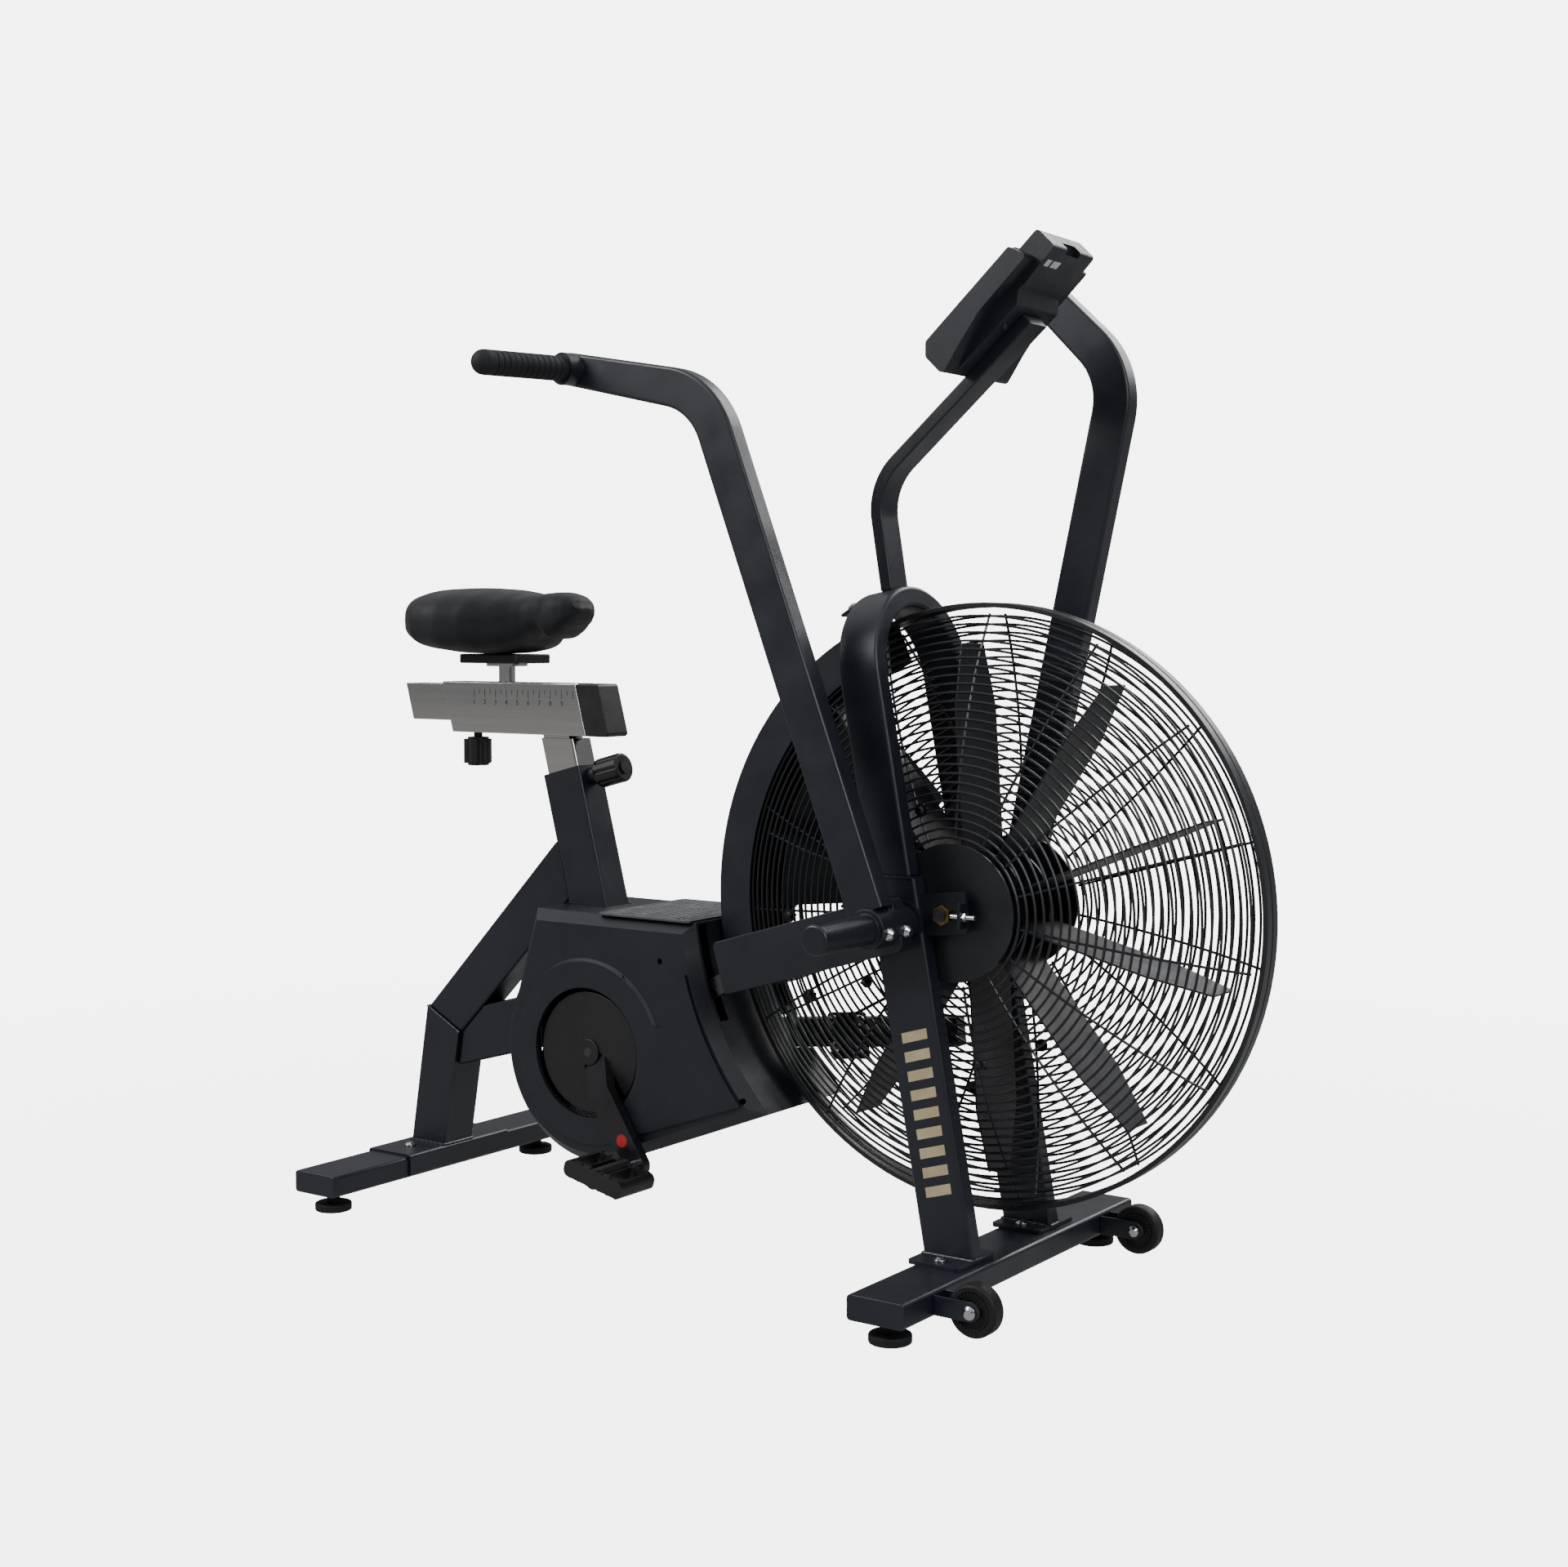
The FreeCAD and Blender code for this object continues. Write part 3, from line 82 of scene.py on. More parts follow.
def texture_coords(m, stretch=(1, 1, 1)):
    t = m.node_tree
    coords = t.nodes.new("ShaderNodeTexCoord")
    mapping = t.nodes.new("ShaderNodeMapping")
    mapping.inputs["Scale"].default_value = stretch
    t.links.new(coords.outputs["Object"], mapping.inputs["Vector"])
    return mapping.outputs["Vector"]


def noise(m, vector, scale, detail=3.0):
    n = m.node_tree.nodes.new("ShaderNodeTexNoise")
    n.inputs["Scale"].default_value = scale
    n.inputs["Detail"].default_value = detail
    m.node_tree.links.new(vector, n.inputs["Vector"])
    return n.outputs["Fac"]


def ramp(m, value, low, high, lo_pos=0.35, hi_pos=0.65):
    n = m.node_tree.nodes.new("ShaderNodeValToRGB")
    n.color_ramp.elements[0].position = lo_pos
    n.color_ramp.elements[0].color = (*low, 1.0)
    n.color_ramp.elements[1].position = hi_pos
    n.color_ramp.elements[1].color = (*high, 1.0)
    m.node_tree.links.new(value, n.inputs["Fac"])
    return n.outputs["Color"]


def vary_color(m, vector, scale, low, high):
    bsdf = m.node_tree.nodes["Principled BSDF"]
    m.node_tree.links.new(ramp(m, noise(m, vector, scale), low, high), bsdf.inputs["Base Color"])


def vary_rough(m, vector, scale, low, high):
    n = m.node_tree.nodes.new("ShaderNodeMapRange")
    n.inputs["From Min"].default_value = 0.3
    n.inputs["From Max"].default_value = 0.7
    n.inputs["To Min"].default_value = low
    n.inputs["To Max"].default_value = high
    m.node_tree.links.new(noise(m, vector, scale), n.inputs["Value"])
    m.node_tree.links.new(n.outputs["Result"], m.node_tree.nodes["Principled BSDF"].inputs["Roughness"])


def add_bump(m, height, distance, strength=1.0):
    t = m.node_tree
    bsdf = t.nodes["Principled BSDF"]
    bump = t.nodes.new("ShaderNodeBump")
    bump.inputs["Strength"].default_value = strength
    bump.inputs["Distance"].default_value = distance
    t.links.new(height, bump.inputs["Height"])
    if bsdf.inputs["Normal"].is_linked:
        t.links.new(bsdf.inputs["Normal"].links[0].from_socket, bump.inputs["Normal"])
    t.links.new(bump.outputs["Normal"], bsdf.inputs["Normal"])


def voronoi(m, vector, scale, feature="DISTANCE_TO_EDGE"):
    n = m.node_tree.nodes.new("ShaderNodeTexVoronoi")
    n.feature = feature
    n.inputs["Scale"].default_value = scale
    m.node_tree.links.new(vector, n.inputs["Vector"])
    return n.outputs["Distance"]


def powder_coat(name, low, high, rough=0.42, grain=1400.0):
    """Satin powder coat: fine orange peel and slow colour drift."""
    m = new_material(name, high, rough, coat=0.12)
    v = texture_coords(m)
    vary_color(m, v, 7.0, low, high)
    vary_rough(m, v, 22.0, rough - 0.06, rough + 0.08)
    add_bump(m, noise(m, v, grain, 2.0), 0.00006, 0.55)
    add_bump(m, noise(m, v, 160.0, 2.0), 0.00012, 0.25)
    return m


def moulded(name, low, high, rough, grain=2200.0, depth=0.00005):
    """Injection-moulded plastic with a fine spark-eroded texture."""
    m = new_material(name, high, rough)
    v = texture_coords(m)
    vary_color(m, v, 9.0, low, high)
    vary_rough(m, v, 45.0, rough - 0.05, rough + 0.07)
    add_bump(m, voronoi(m, v, grain, "F1"), depth, 0.5)
    return m


def brushed(name, color, rough, stretch, fleck=0.05):
    """Metal with drawn scratches along one direction."""
    m = new_material(name, color, rough, metallic=1.0)
    v = texture_coords(m, stretch)
    dark = tuple(c * (1 - fleck) for c in color)
    vary_color(m, v, 90.0, dark, color)
    vary_rough(m, v, 140.0, rough * 0.7, rough * 1.5)
    add_bump(m, noise(m, v, 420.0, 2.0), 0.00002, 0.35)
    return m


def rubber(name, color, rough=0.72):
    m = new_material(name, color, rough, spec=0.35)
    v = texture_coords(m)
    vary_color(m, v, 30.0, tuple(c * 0.7 for c in color), tuple(c * 1.35 for c in color))
    vary_rough(m, v, 60.0, rough - 0.1, rough + 0.1)
    add_bump(m, noise(m, v, 900.0, 4.0), 0.0001, 0.5)
    return m


def vinyl(name):
    """Saddle cover: pebbled leather-look vinyl."""
    m = new_material(name, (0.008, 0.009, 0.011), 0.6, spec=0.3)
    v = texture_coords(m)
    vary_color(m, v, 14.0, (0.0055, 0.006, 0.008), (0.010, 0.011, 0.0135))
    vary_rough(m, v, 55.0, 0.52, 0.68)
    add_bump(m, voronoi(m, v, 620.0), 0.00022, 0.65)
    add_bump(m, noise(m, v, 110.0, 3.0), 0.0002, 0.3)
    m.node_tree.nodes["Principled BSDF"].inputs["Sheen Weight"].default_value = 0.08
    return m


MATERIALS = {
    "powder": powder_coat("powder_coat", (0.0055, 0.0074, 0.0130), (0.0080, 0.0106, 0.0185), 0.38),
    "wire": powder_coat("wire_coat", (0.007, 0.008, 0.0105), (0.011, 0.0125, 0.016), 0.36, 2400.0),
    "fan_paint": powder_coat("blade_coat", (0.011, 0.0125, 0.0155), (0.017, 0.019, 0.0235), 0.46, 1800.0),
    "drive": brushed("turned_steel", (0.12, 0.12, 0.125), 0.34, (1, 1, 1)),
    "cover": moulded("moulded_cover", (0.0055, 0.0072, 0.0122), (0.0080, 0.0103, 0.0170), 0.42),
    "black": moulded("black_plastic", (0.006, 0.006, 0.007), (0.0105, 0.0105, 0.012), 0.4),
    "pin_knob": moulded("knob_plastic", (0.006, 0.006, 0.007), (0.011, 0.011, 0.0125), 0.34),
    "crank_paint": powder_coat("crank_coat", (0.006, 0.006, 0.0075), (0.010, 0.010, 0.012), 0.3, 1500.0),
    "stainless": brushed("polished_stainless", (0.60, 0.59, 0.57), 0.085, (0.06, 1.0, 1.0)),
    "chrome": brushed("chrome", (0.62, 0.62, 0.64), 0.09, (1, 1, 1), 0.02),
    "black_screws": brushed("blackened_steel", (0.05, 0.05, 0.055), 0.3, (1, 1, 1)),
    "brass": brushed("zinc_yellow", (0.42, 0.27, 0.11), 0.3, (1, 1, 1), 0.2),
    "tread": brushed("tread_plate", (0.17, 0.175, 0.18), 0.4, (1.0, 0.1, 1.0)),
    "grip_rubber": rubber("grip_rubber", (0.011, 0.012, 0.014), 0.66),
    "tyre": rubber("wheel_tyre", (0.009, 0.009, 0.010), 0.58),
    "screen": moulded("screen_lens", (0.006, 0.007, 0.008), (0.008, 0.009, 0.010), 0.12, 3000.0, 0.00001),
    "saddle_cover": vinyl("saddle_vinyl"),
}
GOLD = new_material("gold_film", (0.50, 0.40, 0.24), 0.42)
vary_color(GOLD, texture_coords(GOLD), 60.0, (0.46, 0.37, 0.215), (0.55, 0.445, 0.275))
RED = new_material("red_film", (0.45, 0.012, 0.018), 0.35)
vary_color(RED, texture_coords(RED), 120.0, (0.38, 0.010, 0.015), (0.50, 0.016, 0.022))
INK = new_material("scale_ink", (0.02, 0.02, 0.022), 0.5)
vary_color(INK, texture_coords(INK), 200.0, (0.015, 0.015, 0.016), (0.04, 0.04, 0.043))
PAPER = new_material("plain_label", (0.62, 0.62, 0.60), 0.6)
vary_color(PAPER, texture_coords(PAPER), 150.0, (0.56, 0.56, 0.54), (0.68, 0.68, 0.66))
LCD = new_material("display_glass", (0.20, 0.235, 0.21), 0.2)
vary_color(LCD, texture_coords(LCD), 60.0, (0.185, 0.22, 0.195), (0.215, 0.25, 0.225))

for name, node in NODES.items():
    node.data.materials.clear()
    node.data.materials.append(MATERIALS[SLOT[name]])


# ---------------------------------------------------------------- mesh helpers
def from_bmesh(name, bm, material, body, smooth=True):
    mesh = bpy.data.meshes.new(name)
    bm.normal_update()
    bm.to_mesh(mesh)
    bm.free()
    obj = bpy.data.objects.new(name, mesh)
    bpy.context.scene.collection.objects.link(obj)
    mesh.materials.append(material)
    if smooth:
        mesh.shade_smooth()
        mesh.set_sharp_from_angle(angle=math.radians(38))
    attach(obj, body)
    return obj


FAN = Vector((0.290, 0, 0.464))
CRANK, CRANK_ANGLE = Vector((-0.253, 0, 0.241)), math.radians(-54.6)
POST_FOOT_X, POST_FOOT_Z = 0.305, 0.057
POST_LEAN = math.tan(math.radians(10.75))
RING_ENDS = {"wind_guard": (114.0, 130.0, 192.0), "guard_rims": ()}


def drop_joins(bm, ends):
    """Take out the butted end faces between neighbouring lengths of a ring about the fan axle."""
    joins = []
    for face in bm.faces:
        arm = face.calc_center_median() - FAN
        tangent = Vector((-arm.z, 0, arm.x)).normalized()
        angle = math.degrees(math.atan2(arm.z, arm.x)) % 360
        if abs(face.normal.dot(tangent)) > 0.999 and all(abs(angle - e) > 0.2 for e in ends):
            joins.append(face)
    bmesh.ops.delete(bm, geom=joins, context="FACES")
    bmesh.ops.remove_doubles(bm, verts=bm.verts, dist=2e-5)


def softened(node, width, segments=3, angle=32.0):
    """The node's own shape with its hard edges rounded; it stands for the node."""
    bm = bmesh.new()
    bm.from_mesh(NODES[node].data)
    bmesh.ops.remove_doubles(bm, verts=bm.verts, dist=2e-6)
    if node in RING_ENDS:
        bm.normal_update()
        drop_joins(bm, RING_ENDS[node])
    bmesh.ops.dissolve_limit(bm, angle_limit=math.radians(0.6), verts=bm.verts, edges=bm.edges)
    obj = from_bmesh(node + "_shell", bm, MATERIALS[SLOT[node]], BODY[node], smooth=False)
    obj.data.shade_smooth()
    bevel = obj.modifiers.new("edge", "BEVEL")
    bevel.width = width
    bevel.segments = segments
    bevel.limit_method = "ANGLE"
    bevel.angle_limit = math.radians(angle)
    bevel.harden_normals = True
    bevel.use_clamp_overlap = True
    flatten = obj.modifiers.new("flat_faces", "WEIGHTED_NORMAL")
    flatten.weight = 60
    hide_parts(node)
    return obj


def box_bm(bm, centre, size, rotation=None):
    m = Matrix.Translation(centre)
    if rotation:
        m = m @ rotation.to_matrix().to_4x4()
    bmesh.ops.create_cube(bm, size=1.0, matrix=m @ Matrix.Diagonal((*size, 1.0)))


def tube_along(bm, points, radius, closed=True, sides=10, ripple=0.0):
    """Tube round a polyline, with an optional ripple like a weld bead."""
    n = len(points)
    rings = []
    for i, p in enumerate(points):
        a = points[i - 1] if (closed or i) else p
        b = points[(i + 1) % n] if (closed or i < n - 1) else p
        d = (b - a).normalized()
        side = d.orthogonal().normalized() if not rings else None
        if rings:
            side = (last - d * last.dot(d)).normalized()
        last = side
        up = d.cross(side)
        r = radius * (1 + ripple * math.sin(i * 2.1))
        rings.append([bm.verts.new(p + (side * math.cos(t) + up * math.sin(t)) * r)
                      for t in (2 * math.pi * k / sides for k in range(sides))])
    for i in range(n if closed else n - 1):
        first, second = rings[i], rings[(i + 1) % n]
        if closed and i == n - 1:
            shift = min(range(sides), key=lambda s: (first[0].co - second[s].co).length)
            second = second[shift:] + second[:shift]
        for k in range(sides):
            bm.faces.new((first[k], first[(k + 1) % sides], second[(k + 1) % sides], second[k]))


def loop_points(corners, step=0.003):
    """Points every few millimetres round a closed polygon."""
    out = []
    for i, a in enumerate(corners):
        b = corners[(i + 1) % len(corners)]
        count = max(1, int((b - a).length / step))
        out += [a.lerp(b, k / count) for k in range(count)]
    return out


def weld(name, first, last, y0, y1, radius=0.0022):
    """Rippled weld bead round a tube end, between two XZ points and two Y planes."""
    corners = [Vector((first[0], y0, first[1])), Vector((last[0], y0, last[1])),
               Vector((last[0], y1, last[1])), Vector((first[0], y1, first[1]))]
    bm = bmesh.new()
    tube_along(bm, loop_points(corners), radius, ripple=0.16, sides=8)
    return from_bmesh(name, bm, MATERIALS["powder"], "frame")


# ---------------------------------------------------------------- frame, rounded edges
EDGES = {
    "front_stabilizer": 0.0016, "rear_stabilizer": 0.0016, "rear_upright": 0.004, "diagonal_strut": 0.004,
    "rear_beam": 0.004, "seat_tube": 0.0016, "fork_post_left": 0.0015, "fork_post_right": 0.0015,
    "fork_plates": 0.001, "fan_arch": 0.0045, "fan_beam": 0.003, "console_mast": 0.003,
    "console_housing": 0.003, "lever_hub_left": 0.003, "lever_hub_right": 0.003, "step_plate": 0.0006,
    "slider_inner": 0.0015, "slider_outer": 0.002, "slider_cap": 0.002, "saddle_clamp": 0.002,
    "shroud_left": 0.0018, "shroud_right": 0.0018, "crank_arm_left": 0.003, "crank_arm_right": 0.003,
    "crank_covers": 0.0012, "pedal_left": 0.0012, "pedal_right": 0.0012, "wind_guard": 0.0005,
    "guard_rims": 0.001, "slider_knob": 0.002, "post_pin_knob": 0.001, "fan_blades": 0.0005,
    "frame_bolts": 0.0008, "lever_nuts_left": 0.0012, "lever_nuts_right": 0.0012, "axle_nuts": 0.0008,
    "console_screen": 0.0005,
}
for node_name, edge in EDGES.items():
    softened(node_name, edge)


# ---------------------------------------------------------------- saddle
# millimetres: x, half width, height of the top, height of the underside
SADDLE_LINES = [
    (-588, 76, 840, 791), (-572, 106, 848, 776), (-545, 120, 852, 767), (-505, 121, 852.5, 763),
    (-472, 108, 850, 763), (-444, 84, 846.5, 766), (-420, 62, 843, 774), (-405, 52, 842.5, 788),
    (-388, 46, 844.5, 796), (-381, 44, 845.5, 795), (-378, 43, 846, 781), (-364, 39, 846.5, 788),
    (-350, 34, 843.5, 799), (-340, 27, 838, 808), (-333, 20, 831, 815),
]


def along_lines(x, column):
    for a, b in zip(SADDLE_LINES, SADDLE_LINES[1:]):
        if x <= b[0]:
            t = max(0.0, (x - a[0]) / (b[0] - a[0]))
            t = t * t * (3 - 2 * t) * 0.5 + t * 0.5
            return a[column] + (b[column] - a[column]) * t
    return SADDLE_LINES[-1][column]


def saddle_form(stations=84, around=72):
    """Lofted pad: broad rounded rear, waist, raised nose with a lip under it."""
    bm = bmesh.new()
    rear, nose = SADDLE_LINES[0][0], SADDLE_LINES[-1][0]
    rows = []
    for i in range(stations):
        x = rear + (nose - rear) * (1 - math.cos(math.pi * (i + 0.35) / (stations - 0.3))) / 2
        half, top, low = (along_lines(x, c) for c in (1, 2, 3))
        end = min(1.0, (x - rear + 0.4) / 22.0, (nose - x + 0.4) / 9.0)
        shrink = math.sqrt(1 - (1 - end) ** 2)
        middle = low + 0.45 * (top - low)
        row = []
        for k in range(around):
            a = 2 * math.pi * k / around
            c, d = math.cos(a), math.sin(a)
            y = half * math.copysign(abs(c) ** 0.72, c) * (0.35 + 0.65 * shrink)
            z = (top - middle) * abs(d) ** 0.74 if d >= 0 else -(middle - low) * abs(d) ** 0.55
            row.append(bm.verts.new((x / 1000, y / 1000, (middle + z * shrink) / 1000)))
        rows.append(row)
    for a, b in zip(rows, rows[1:]):
        for k in range(around):
            bm.faces.new((a[k], a[(k + 1) % around], b[(k + 1) % around], b[k]))
    bm.faces.new(rows[0][::-1])
    bm.faces.new(rows[-1])
    bmesh.ops.recalc_face_normals(bm, faces=bm.faces)
    return bm


def simulated_saddle():
    """Padded saddle: the lofted form filled out as cloth under a little pressure."""
    cover = "saddle_cover"
    obj = from_bmesh("saddle_pad", saddle_form(), MATERIALS[cover], "carriage", smooth=False)
    start = [v.co.copy() for v in obj.data.vertices]
    cloth = obj.modifiers.new("cloth", "CLOTH")
    cloth.settings.effector_weights.gravity = 0.0
    cloth.settings.use_pressure = True
    cloth.settings.uniform_pressure_force = 1.5
    cloth.settings.tension_stiffness = 60.0
    cloth.settings.compression_stiffness = 60.0
    cloth.settings.bending_stiffness = 6.0
    scene = bpy.context.scene
    for f in range(1, 16):
        scene.frame_set(f)
    graph = bpy.context.evaluated_depsgraph_get()
    moved = bpy.data.meshes.new_from_object(obj.evaluated_get(graph))
    obj.modifiers.clear()
    for v, old, new in zip(obj.data.vertices, start, moved.vertices):
        d = new.co - old
        v.co = old + (d if d.length < 0.0025 else d.normalized() * 0.0025)
    scene.frame_set(1)
    smooth = obj.modifiers.new("smooth", "SMOOTH")
    smooth.iterations = 2
    sub = obj.modifiers.new("sub", "SUBSURF")
    sub.levels = sub.render_levels = 1
    obj.data.shade_smooth()
    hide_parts("saddle")


simulated_saddle()

# ---------------------------------------------------------------- wheels
softened("wheel_left", 0.0012)
softened("wheel_right", 0.0012)


def wheel_hub(name, node, body):
    """Fine teeth round the hub on both faces of a wheel."""
    lo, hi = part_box(node)
    centre = (lo + hi) / 2
    bm = bmesh.new()
    for face in (lo.y - 0.0004, hi.y + 0.0004):
        for i in range(28):
            a = 2 * math.pi * i / 28
            at = Vector((centre.x + 0.0205 * math.cos(a), face, centre.z + 0.0205 * math.sin(a)))
            box_bm(bm, at, (0.0022, 0.0012, 0.0022), Euler((0, -a, 0)))
    return from_bmesh(name, bm, MATERIALS["black"], body, smooth=False)


wheel_hub("wheel_teeth_left", "wheel_left", "wheel_l")
wheel_hub("wheel_teeth_right", "wheel_right", "wheel_r")

# ---------------------------------------------------------------- weld seams
FINE_BEAD = 0.0018
weld("weld_upright_foot", (-0.642, 0.061), (-0.576, 0.061), -0.029, 0.029)
weld("weld_upright_strut", (-0.609, 0.258), (-0.549, 0.226), -0.027, 0.027, FINE_BEAD)


def post_x(z):
    """Middle of a fork post at a height."""
    return POST_FOOT_X - (z - POST_FOOT_Z) * POST_LEAN


for side, name in ((-1, "right"), (1, "left")):
    foot, top = (corner.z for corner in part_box("fork_post_" + name))
    y0, y1 = side * 0.083, side * 0.108
    x_foot, x_top = post_x(POST_FOOT_Z + 0.005), post_x(top)
    weld("weld_fork_foot_" + name, (x_foot - 0.034, foot), (x_foot + 0.034, foot), y0, y1)
    weld("weld_arch_" + name, (x_top - 0.030, top), (x_top + 0.030, top), y0, y1, FINE_BEAD)

# ---------------------------------------------------------------- printed and small details
def flat_polygon(bm, corners, thickness):
    """Thin plate from corners that lie in one plane, thickened along its normal."""
    face = bm.faces.new([bm.verts.new(c) for c in corners])
    bm.normal_update()
    out = bmesh.ops.extrude_face_region(bm, geom=[face])
    moved = [g for g in out["geom"] if isinstance(g, bmesh.types.BMVert)]
    bmesh.ops.translate(bm, verts=moved, vec=face.normal * thickness)


def post_stripes():
    """Plain slanted bars down the outer face of the right fork post."""
    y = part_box("fork_post_right")[0].y - 0.0001
    pitch, height, skew = 0.0225, 0.012, 0.010
    bm = bmesh.new()
    for i in range(9):
        z = 0.128 + pitch * i
        x = post_x(z)
        low = [(x - 0.017, z), (x + 0.017, z + skew)]
        high = [(cx - 0.002, cz + height) for cx, cz in reversed(low)]
        flat_polygon(bm, [Vector((cx, y, cz)) for cx, cz in low + high], 0.0002)
    return from_bmesh("post_stripes", bm, GOLD, "frame", smooth=False)


post_stripes()


def slider_scale():
    """Ticks and plain numbers along both sides of the slider."""
    lo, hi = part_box("slider_outer")
    bm = bmesh.new()
    for side in (-1, 1):
        y = lo.y - 0.0001 if side < 0 else hi.y + 0.0001
        for i in range(19):
            x = -0.520 + 0.010 * i
            h = 0.011 if i % 2 == 0 else 0.006
            z = hi.z - 0.010
            box_bm(bm, Vector((x, y, z - h / 2)), (0.0007, 0.0003, h))
    ticks = from_bmesh("slider_ticks", bm, INK, "carriage", smooth=False)
    for side in (-1, 1):
        for i in range(1, 10):
            curve = bpy.data.curves.new("number", "FONT")
            curve.body = str(i)
            curve.size = 0.010
            curve.extrude = 0.00012
            curve.align_x = "CENTER"
            text = bpy.data.objects.new("slider_number_%d_%s" % (i, "r" if side < 0 else "l"), curve)
            bpy.context.scene.collection.objects.link(text)
            x = -0.540 + 0.020 * i
            text.location = (x, lo.y - 0.0001 if side < 0 else hi.y + 0.0001, hi.z - 0.031)
            text.rotation_euler = (math.pi / 2, 0, 0 if side < 0 else math.pi)
            bpy.context.view_layer.update()
            mesh = bpy.data.meshes.new_from_object(text)
            mesh.transform(text.matrix_world)
            solid = bpy.data.objects.new(text.name + "_mark", mesh)
            bpy.data.objects.remove(text)
            bpy.context.scene.collection.objects.link(solid)
            mesh.materials.clear()
            mesh.materials.append(INK)
            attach(solid, "carriage")
    return ticks


slider_scale()


def disc_bm(bm, centre, normal, radius, depth, segments=32):
    q = Vector((0, 0, 1)).rotation_difference(Vector(normal))
    m = Matrix.Translation(Vector(centre) + Vector(normal) * depth / 2) @ q.to_matrix().to_4x4()
    bmesh.ops.create_cone(bm, cap_ends=True, segments=segments, radius1=radius, radius2=radius * 0.97,
                          depth=depth, matrix=m)


def arc_points(centre, radius, angles):
    """XZ points on a circle, angles in degrees from +X towards +Z."""
    return [(centre.x + radius * math.cos(math.radians(a)), centre.z + radius * math.sin(math.radians(a)))
            for a in angles]


def curve_points(knots, steps):
    """Smooth curve through XZ knots, without its last one."""
    out = []
    for i in range(len(knots) - 1):
        p0, p1 = Vector(knots[max(i - 1, 0)]), Vector(knots[i])
        p2, p3 = Vector(knots[i + 1]), Vector(knots[min(i + 2, len(knots) - 1)])
        for k in range(steps):
            t = k / steps
            bend = (2 * p0 - 5 * p1 + 4 * p2 - p3) * t * t + (3 * p1 - p0 - 3 * p2 + p3) * t ** 3
            out.append(tuple((2 * p1 + (p2 - p0) * t + bend) / 2))
    return out


def cover_ridge():
    """Raised moulding on the right cover: an S from the ring to the front edge, then round the belly."""
    s_curve = [(-0.191, 0.349), (-0.172, 0.322), (-0.152, 0.296), (-0.135, 0.286),
               (-0.118, 0.292), (-0.104, 0.314), (-0.096, 0.340), (-0.093, 0.362)]
    y, rise = -0.0968, 0.0045
    outline = arc_points(CRANK, 0.121, range(-72, 61, 4)) + curve_points(s_curve, 6)
    outline += arc_points(FAN, 0.394, (195.5, 199, 203, 207, 211, 215, 219, 222))
    bm = bmesh.new()
    face = bm.faces.new([bm.verts.new((x, y, z)) for x, z in outline])
    bm.normal_update()
    if face.normal.y > 0:
        face.normal_flip()
    out = bmesh.ops.extrude_face_region(bm, geom=[face])
    moved = [g for g in out["geom"] if isinstance(g, bmesh.types.BMVert)]
    bmesh.ops.translate(bm, verts=moved, vec=(0, -rise, 0))
    bmesh.ops.recalc_face_normals(bm, faces=bm.faces)
    obj = from_bmesh("cover_ridge", bm, MATERIALS["cover"], "frame", smooth=False)
    obj.data.shade_smooth()
    bevel = obj.modifiers.new("edge", "BEVEL")
    bevel.width = 0.0042
    bevel.segments = 5
    bevel.limit_method = "ANGLE"
    bevel.angle_limit = math.radians(50)
    bevel.harden_normals = True


cover_ridge()


def crank_marks():
    """A plain red dot near the end of each arm, and a small dark disc of painted shade standing for a hole in
    the middle of each cover.
    """
    dots, hole_shade_discs = bmesh.new(), bmesh.new()
    for side, angle in ((-1, CRANK_ANGLE), (1, CRANK_ANGLE + math.pi)):
        along = Vector((math.cos(angle), 0, math.sin(angle)))
        out = Vector((0, side, 0))
        disc_bm(dots, CRANK + along * 0.128 + out * 0.1178, out, 0.0085, 0.0005)
        # dark ink disc on the cover face: painted shade in place of the centre hole, which is not cut
        disc_bm(hole_shade_discs, CRANK + out * 0.0969, out, 0.0062, 0.0004)
    from_bmesh("crank_dots", dots, RED, "crank")
    from_bmesh("crank_cover_hole_shade", hole_shade_discs, INK, "crank")


crank_marks()


def plate_bm(bm, centre, basis, size):
    """Small plate turned to a basis."""
    matrix = Matrix.Translation(centre) @ basis @ Matrix.Diagonal((*size, 1))
    bmesh.ops.create_cube(bm, size=1.0, matrix=matrix)


def turned_basis(first, third):
    """Axes of a tilted plate: its first and third axis, with +Y between them."""
    return Matrix((first, Vector((0, 1, 0)), third)).transposed().to_4x4()


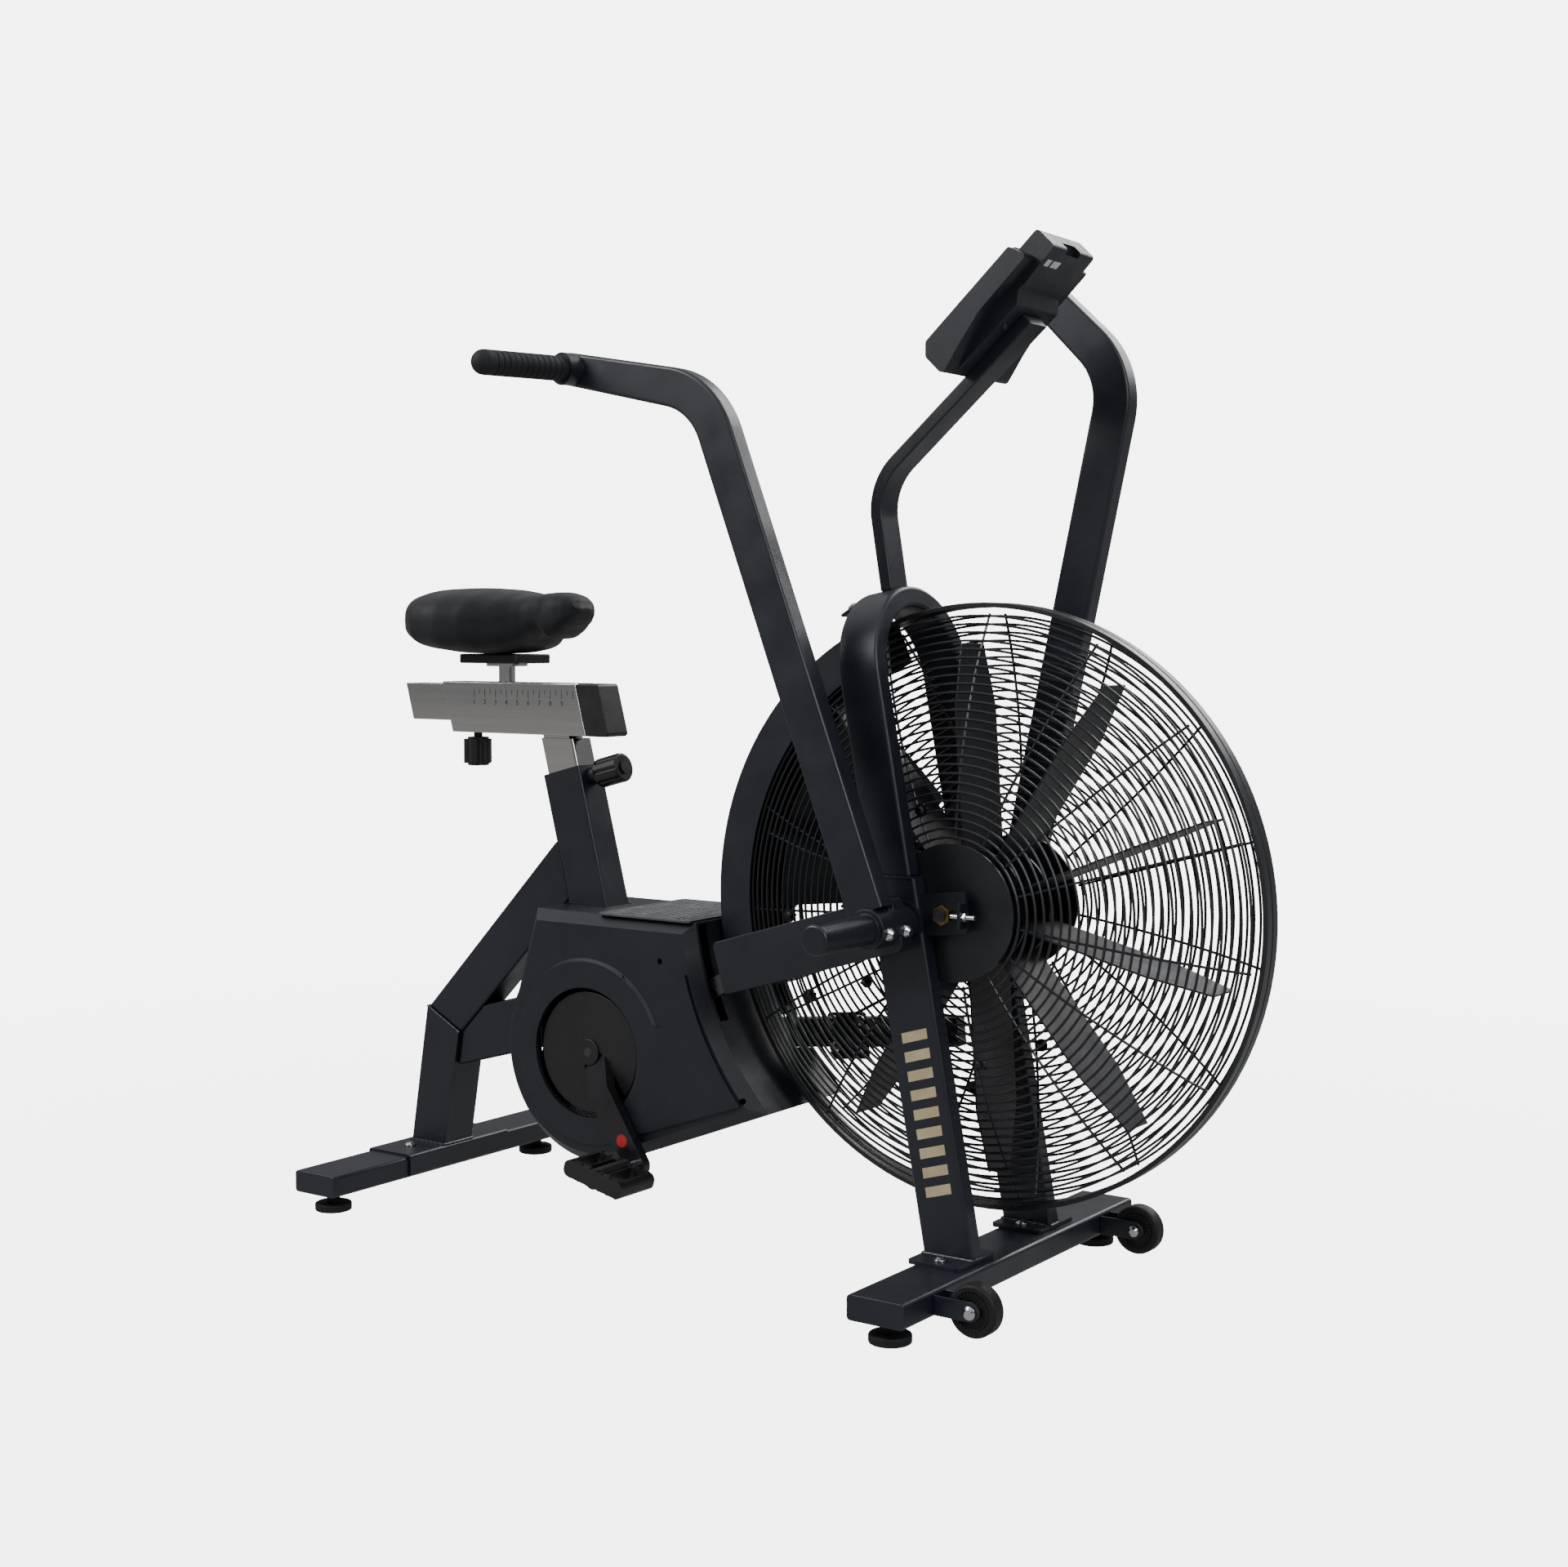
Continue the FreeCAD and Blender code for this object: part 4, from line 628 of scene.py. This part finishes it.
def console_details():
    """Blank labels on the console's back, and a display with plain segments on its face."""
    slope = Vector((0.109, 0, 0.099)).normalized()
    back, face = Vector((slope.z, 0, -slope.x)), Vector((-slope.z, 0, slope.x))
    back_mid = Vector((0.388, 0, 1.2185)) - slope * 0.006
    face_mid = Vector((0.304, 0, 1.1856)) + face * 0.0007 + slope * 0.001
    labels, display, digits = bmesh.new(), bmesh.new(), bmesh.new()
    for y, width in ((-0.036, 0.010), (-0.018, 0.016)):
        plate_bm(labels, back_mid + Vector((0, y, 0)), turned_basis(slope, back), (0.010, width, 0.0004))
    basis = turned_basis(slope, face)
    plate_bm(display, face_mid + slope * 0.012, basis, (0.056, 0.092, 0.0004))
    stroke = 0.0012
    level = [(u, 0, stroke, width) for u, width in ((0.006, 0.008), (-0.006, 0.008), (0, 0.007))]
    upright = [(u, y, 0.005, stroke) for u in (0.003, -0.003) for y in (0.0045, -0.0045)]
    for row in range(3):
        for digit in range(4):
            centre = face_mid + slope * (0.030 - 0.018 * row) + Vector((0, -0.033 + 0.022 * digit, 0))
            for u, y, height, width in level + upright:
                at = centre + face * 0.0003 + slope * u + Vector((0, y, 0))
                plate_bm(digits, at, basis, (height, width, 0.0003))
    from_bmesh("console_labels", labels, PAPER, "frame", smooth=False)
    from_bmesh("console_display", display, LCD, "frame", smooth=False)
    from_bmesh("console_digits", digits, INK, "frame", smooth=False)


console_details()

# ---------------------------------------------------------------- floor and light
PALE = 6.0


def pale_floor():
    """Near-white floor that fades into the backdrop; it only glows to the eye, not onto the machine."""
    m = new_material("floor_paint", (0.82, 0.82, 0.82), 0.8, spec=0.1)
    t = m.node_tree
    coords = texture_coords(m)
    vary_color(m, coords, 1.2, (0.81, 0.81, 0.81), (0.83, 0.83, 0.83))
    reach = t.nodes.new("ShaderNodeVectorMath")
    reach.operation = "LENGTH"
    t.links.new(coords, reach.inputs[0])
    fade = t.nodes.new("ShaderNodeMapRange")
    fade.interpolation_type = "SMOOTHSTEP"
    fade.inputs["From Min"].default_value = 0.8
    fade.inputs["From Max"].default_value = 3.2
    fade.inputs["To Min"].default_value = 0.84
    fade.inputs["To Max"].default_value = 1.0
    t.links.new(reach.outputs["Value"], fade.inputs["Value"])
    path = t.nodes.new("ShaderNodeLightPath")
    glow = t.nodes.new("ShaderNodeMapRange")
    glow.inputs["To Min"].default_value = 0.35
    glow.inputs["To Max"].default_value = PALE
    t.links.new(path.outputs["Is Camera Ray"], glow.inputs["Value"])
    light = t.nodes.new("ShaderNodeEmission")
    light.inputs["Color"].default_value = (1.0, 1.0, 1.0, 1.0)
    t.links.new(glow.outputs["Result"], light.inputs["Strength"])
    mix = t.nodes.new("ShaderNodeMixShader")
    t.links.new(fade.outputs["Result"], mix.inputs["Fac"])
    t.links.new(t.nodes["Principled BSDF"].outputs["BSDF"], mix.inputs[1])
    t.links.new(light.outputs["Emission"], mix.inputs[2])
    t.links.new(mix.outputs["Shader"], t.nodes["Material Output"].inputs["Surface"])
    return m


def lay_floor(size=14.0):
    bm = bmesh.new()
    bmesh.ops.create_grid(bm, x_segments=1, y_segments=1, size=size)
    mesh = bpy.data.meshes.new("floor")
    bm.to_mesh(mesh)
    bm.free()
    mesh.materials.append(pale_floor())
    floor = bpy.data.objects.new("floor", mesh)
    bpy.context.scene.collection.objects.link(floor)


lay_floor()


def studio_world():
    """White backdrop to the eye; a dim room with a bright ceiling in the reflections."""
    world = bpy.data.worlds.new("studio")
    bpy.context.scene.world = world
    world.use_nodes = True
    t = world.node_tree
    coords = t.nodes.new("ShaderNodeTexCoord")
    split = t.nodes.new("ShaderNodeSeparateXYZ")
    t.links.new(coords.outputs["Generated"], split.inputs["Vector"])
    height = t.nodes.new("ShaderNodeMapRange")
    height.inputs["From Min"].default_value = -1.0
    t.links.new(split.outputs["Z"], height.inputs["Value"])
    tone = t.nodes.new("ShaderNodeValToRGB")
    stops = tone.color_ramp.elements
    stops[0].position = 0.0
    stops[0].color = (0.30, 0.30, 0.31, 1.0)
    stops[1].position = 1.0
    stops[1].color = (0.95, 0.96, 1.0, 1.0)
    for position, value in ((0.46, 0.30), (0.52, 0.16), (0.66, 0.22), (0.80, 0.62)):
        stop = stops.new(position)
        stop.color = (value, value, value * 1.03, 1.0)
    t.links.new(height.outputs["Result"], tone.inputs["Fac"])
    room = t.nodes["Background"]
    t.links.new(tone.outputs["Color"], room.inputs["Color"])
    room.inputs["Strength"].default_value = 1.0
    backdrop = t.nodes.new("ShaderNodeBackground")
    backdrop.inputs["Color"].default_value = (1.0, 1.0, 1.0, 1.0)
    backdrop.inputs["Strength"].default_value = PALE
    path = t.nodes.new("ShaderNodeLightPath")
    mix = t.nodes.new("ShaderNodeMixShader")
    t.links.new(path.outputs["Is Camera Ray"], mix.inputs["Fac"])
    t.links.new(room.outputs["Background"], mix.inputs[1])
    t.links.new(backdrop.outputs["Background"], mix.inputs[2])
    t.links.new(mix.outputs["Shader"], t.nodes["World Output"].inputs["Surface"])


studio_world()


def area_light(name, location, target, size, power, size_y=None):
    data = bpy.data.lights.new(name, "AREA")
    data.shape = "RECTANGLE"
    data.size = size
    data.size_y = size_y or size
    data.energy = power
    light = bpy.data.objects.new(name, data)
    bpy.context.scene.collection.objects.link(light)
    light.location = location
    direction = Vector(target) - Vector(location)
    light.rotation_euler = direction.to_track_quat("-Z", "Y").to_euler()


area_light("key", (-2.6, -3.0, 3.2), (0, 0, 0.6), 2.0, 120)
area_light("fill", (3.4, -1.6, 2.4), (0.1, 0, 0.6), 1.6, 55)
area_light("rim", (0.5, 3.4, 3.0), (0, 0, 0.6), 2.2, 90)
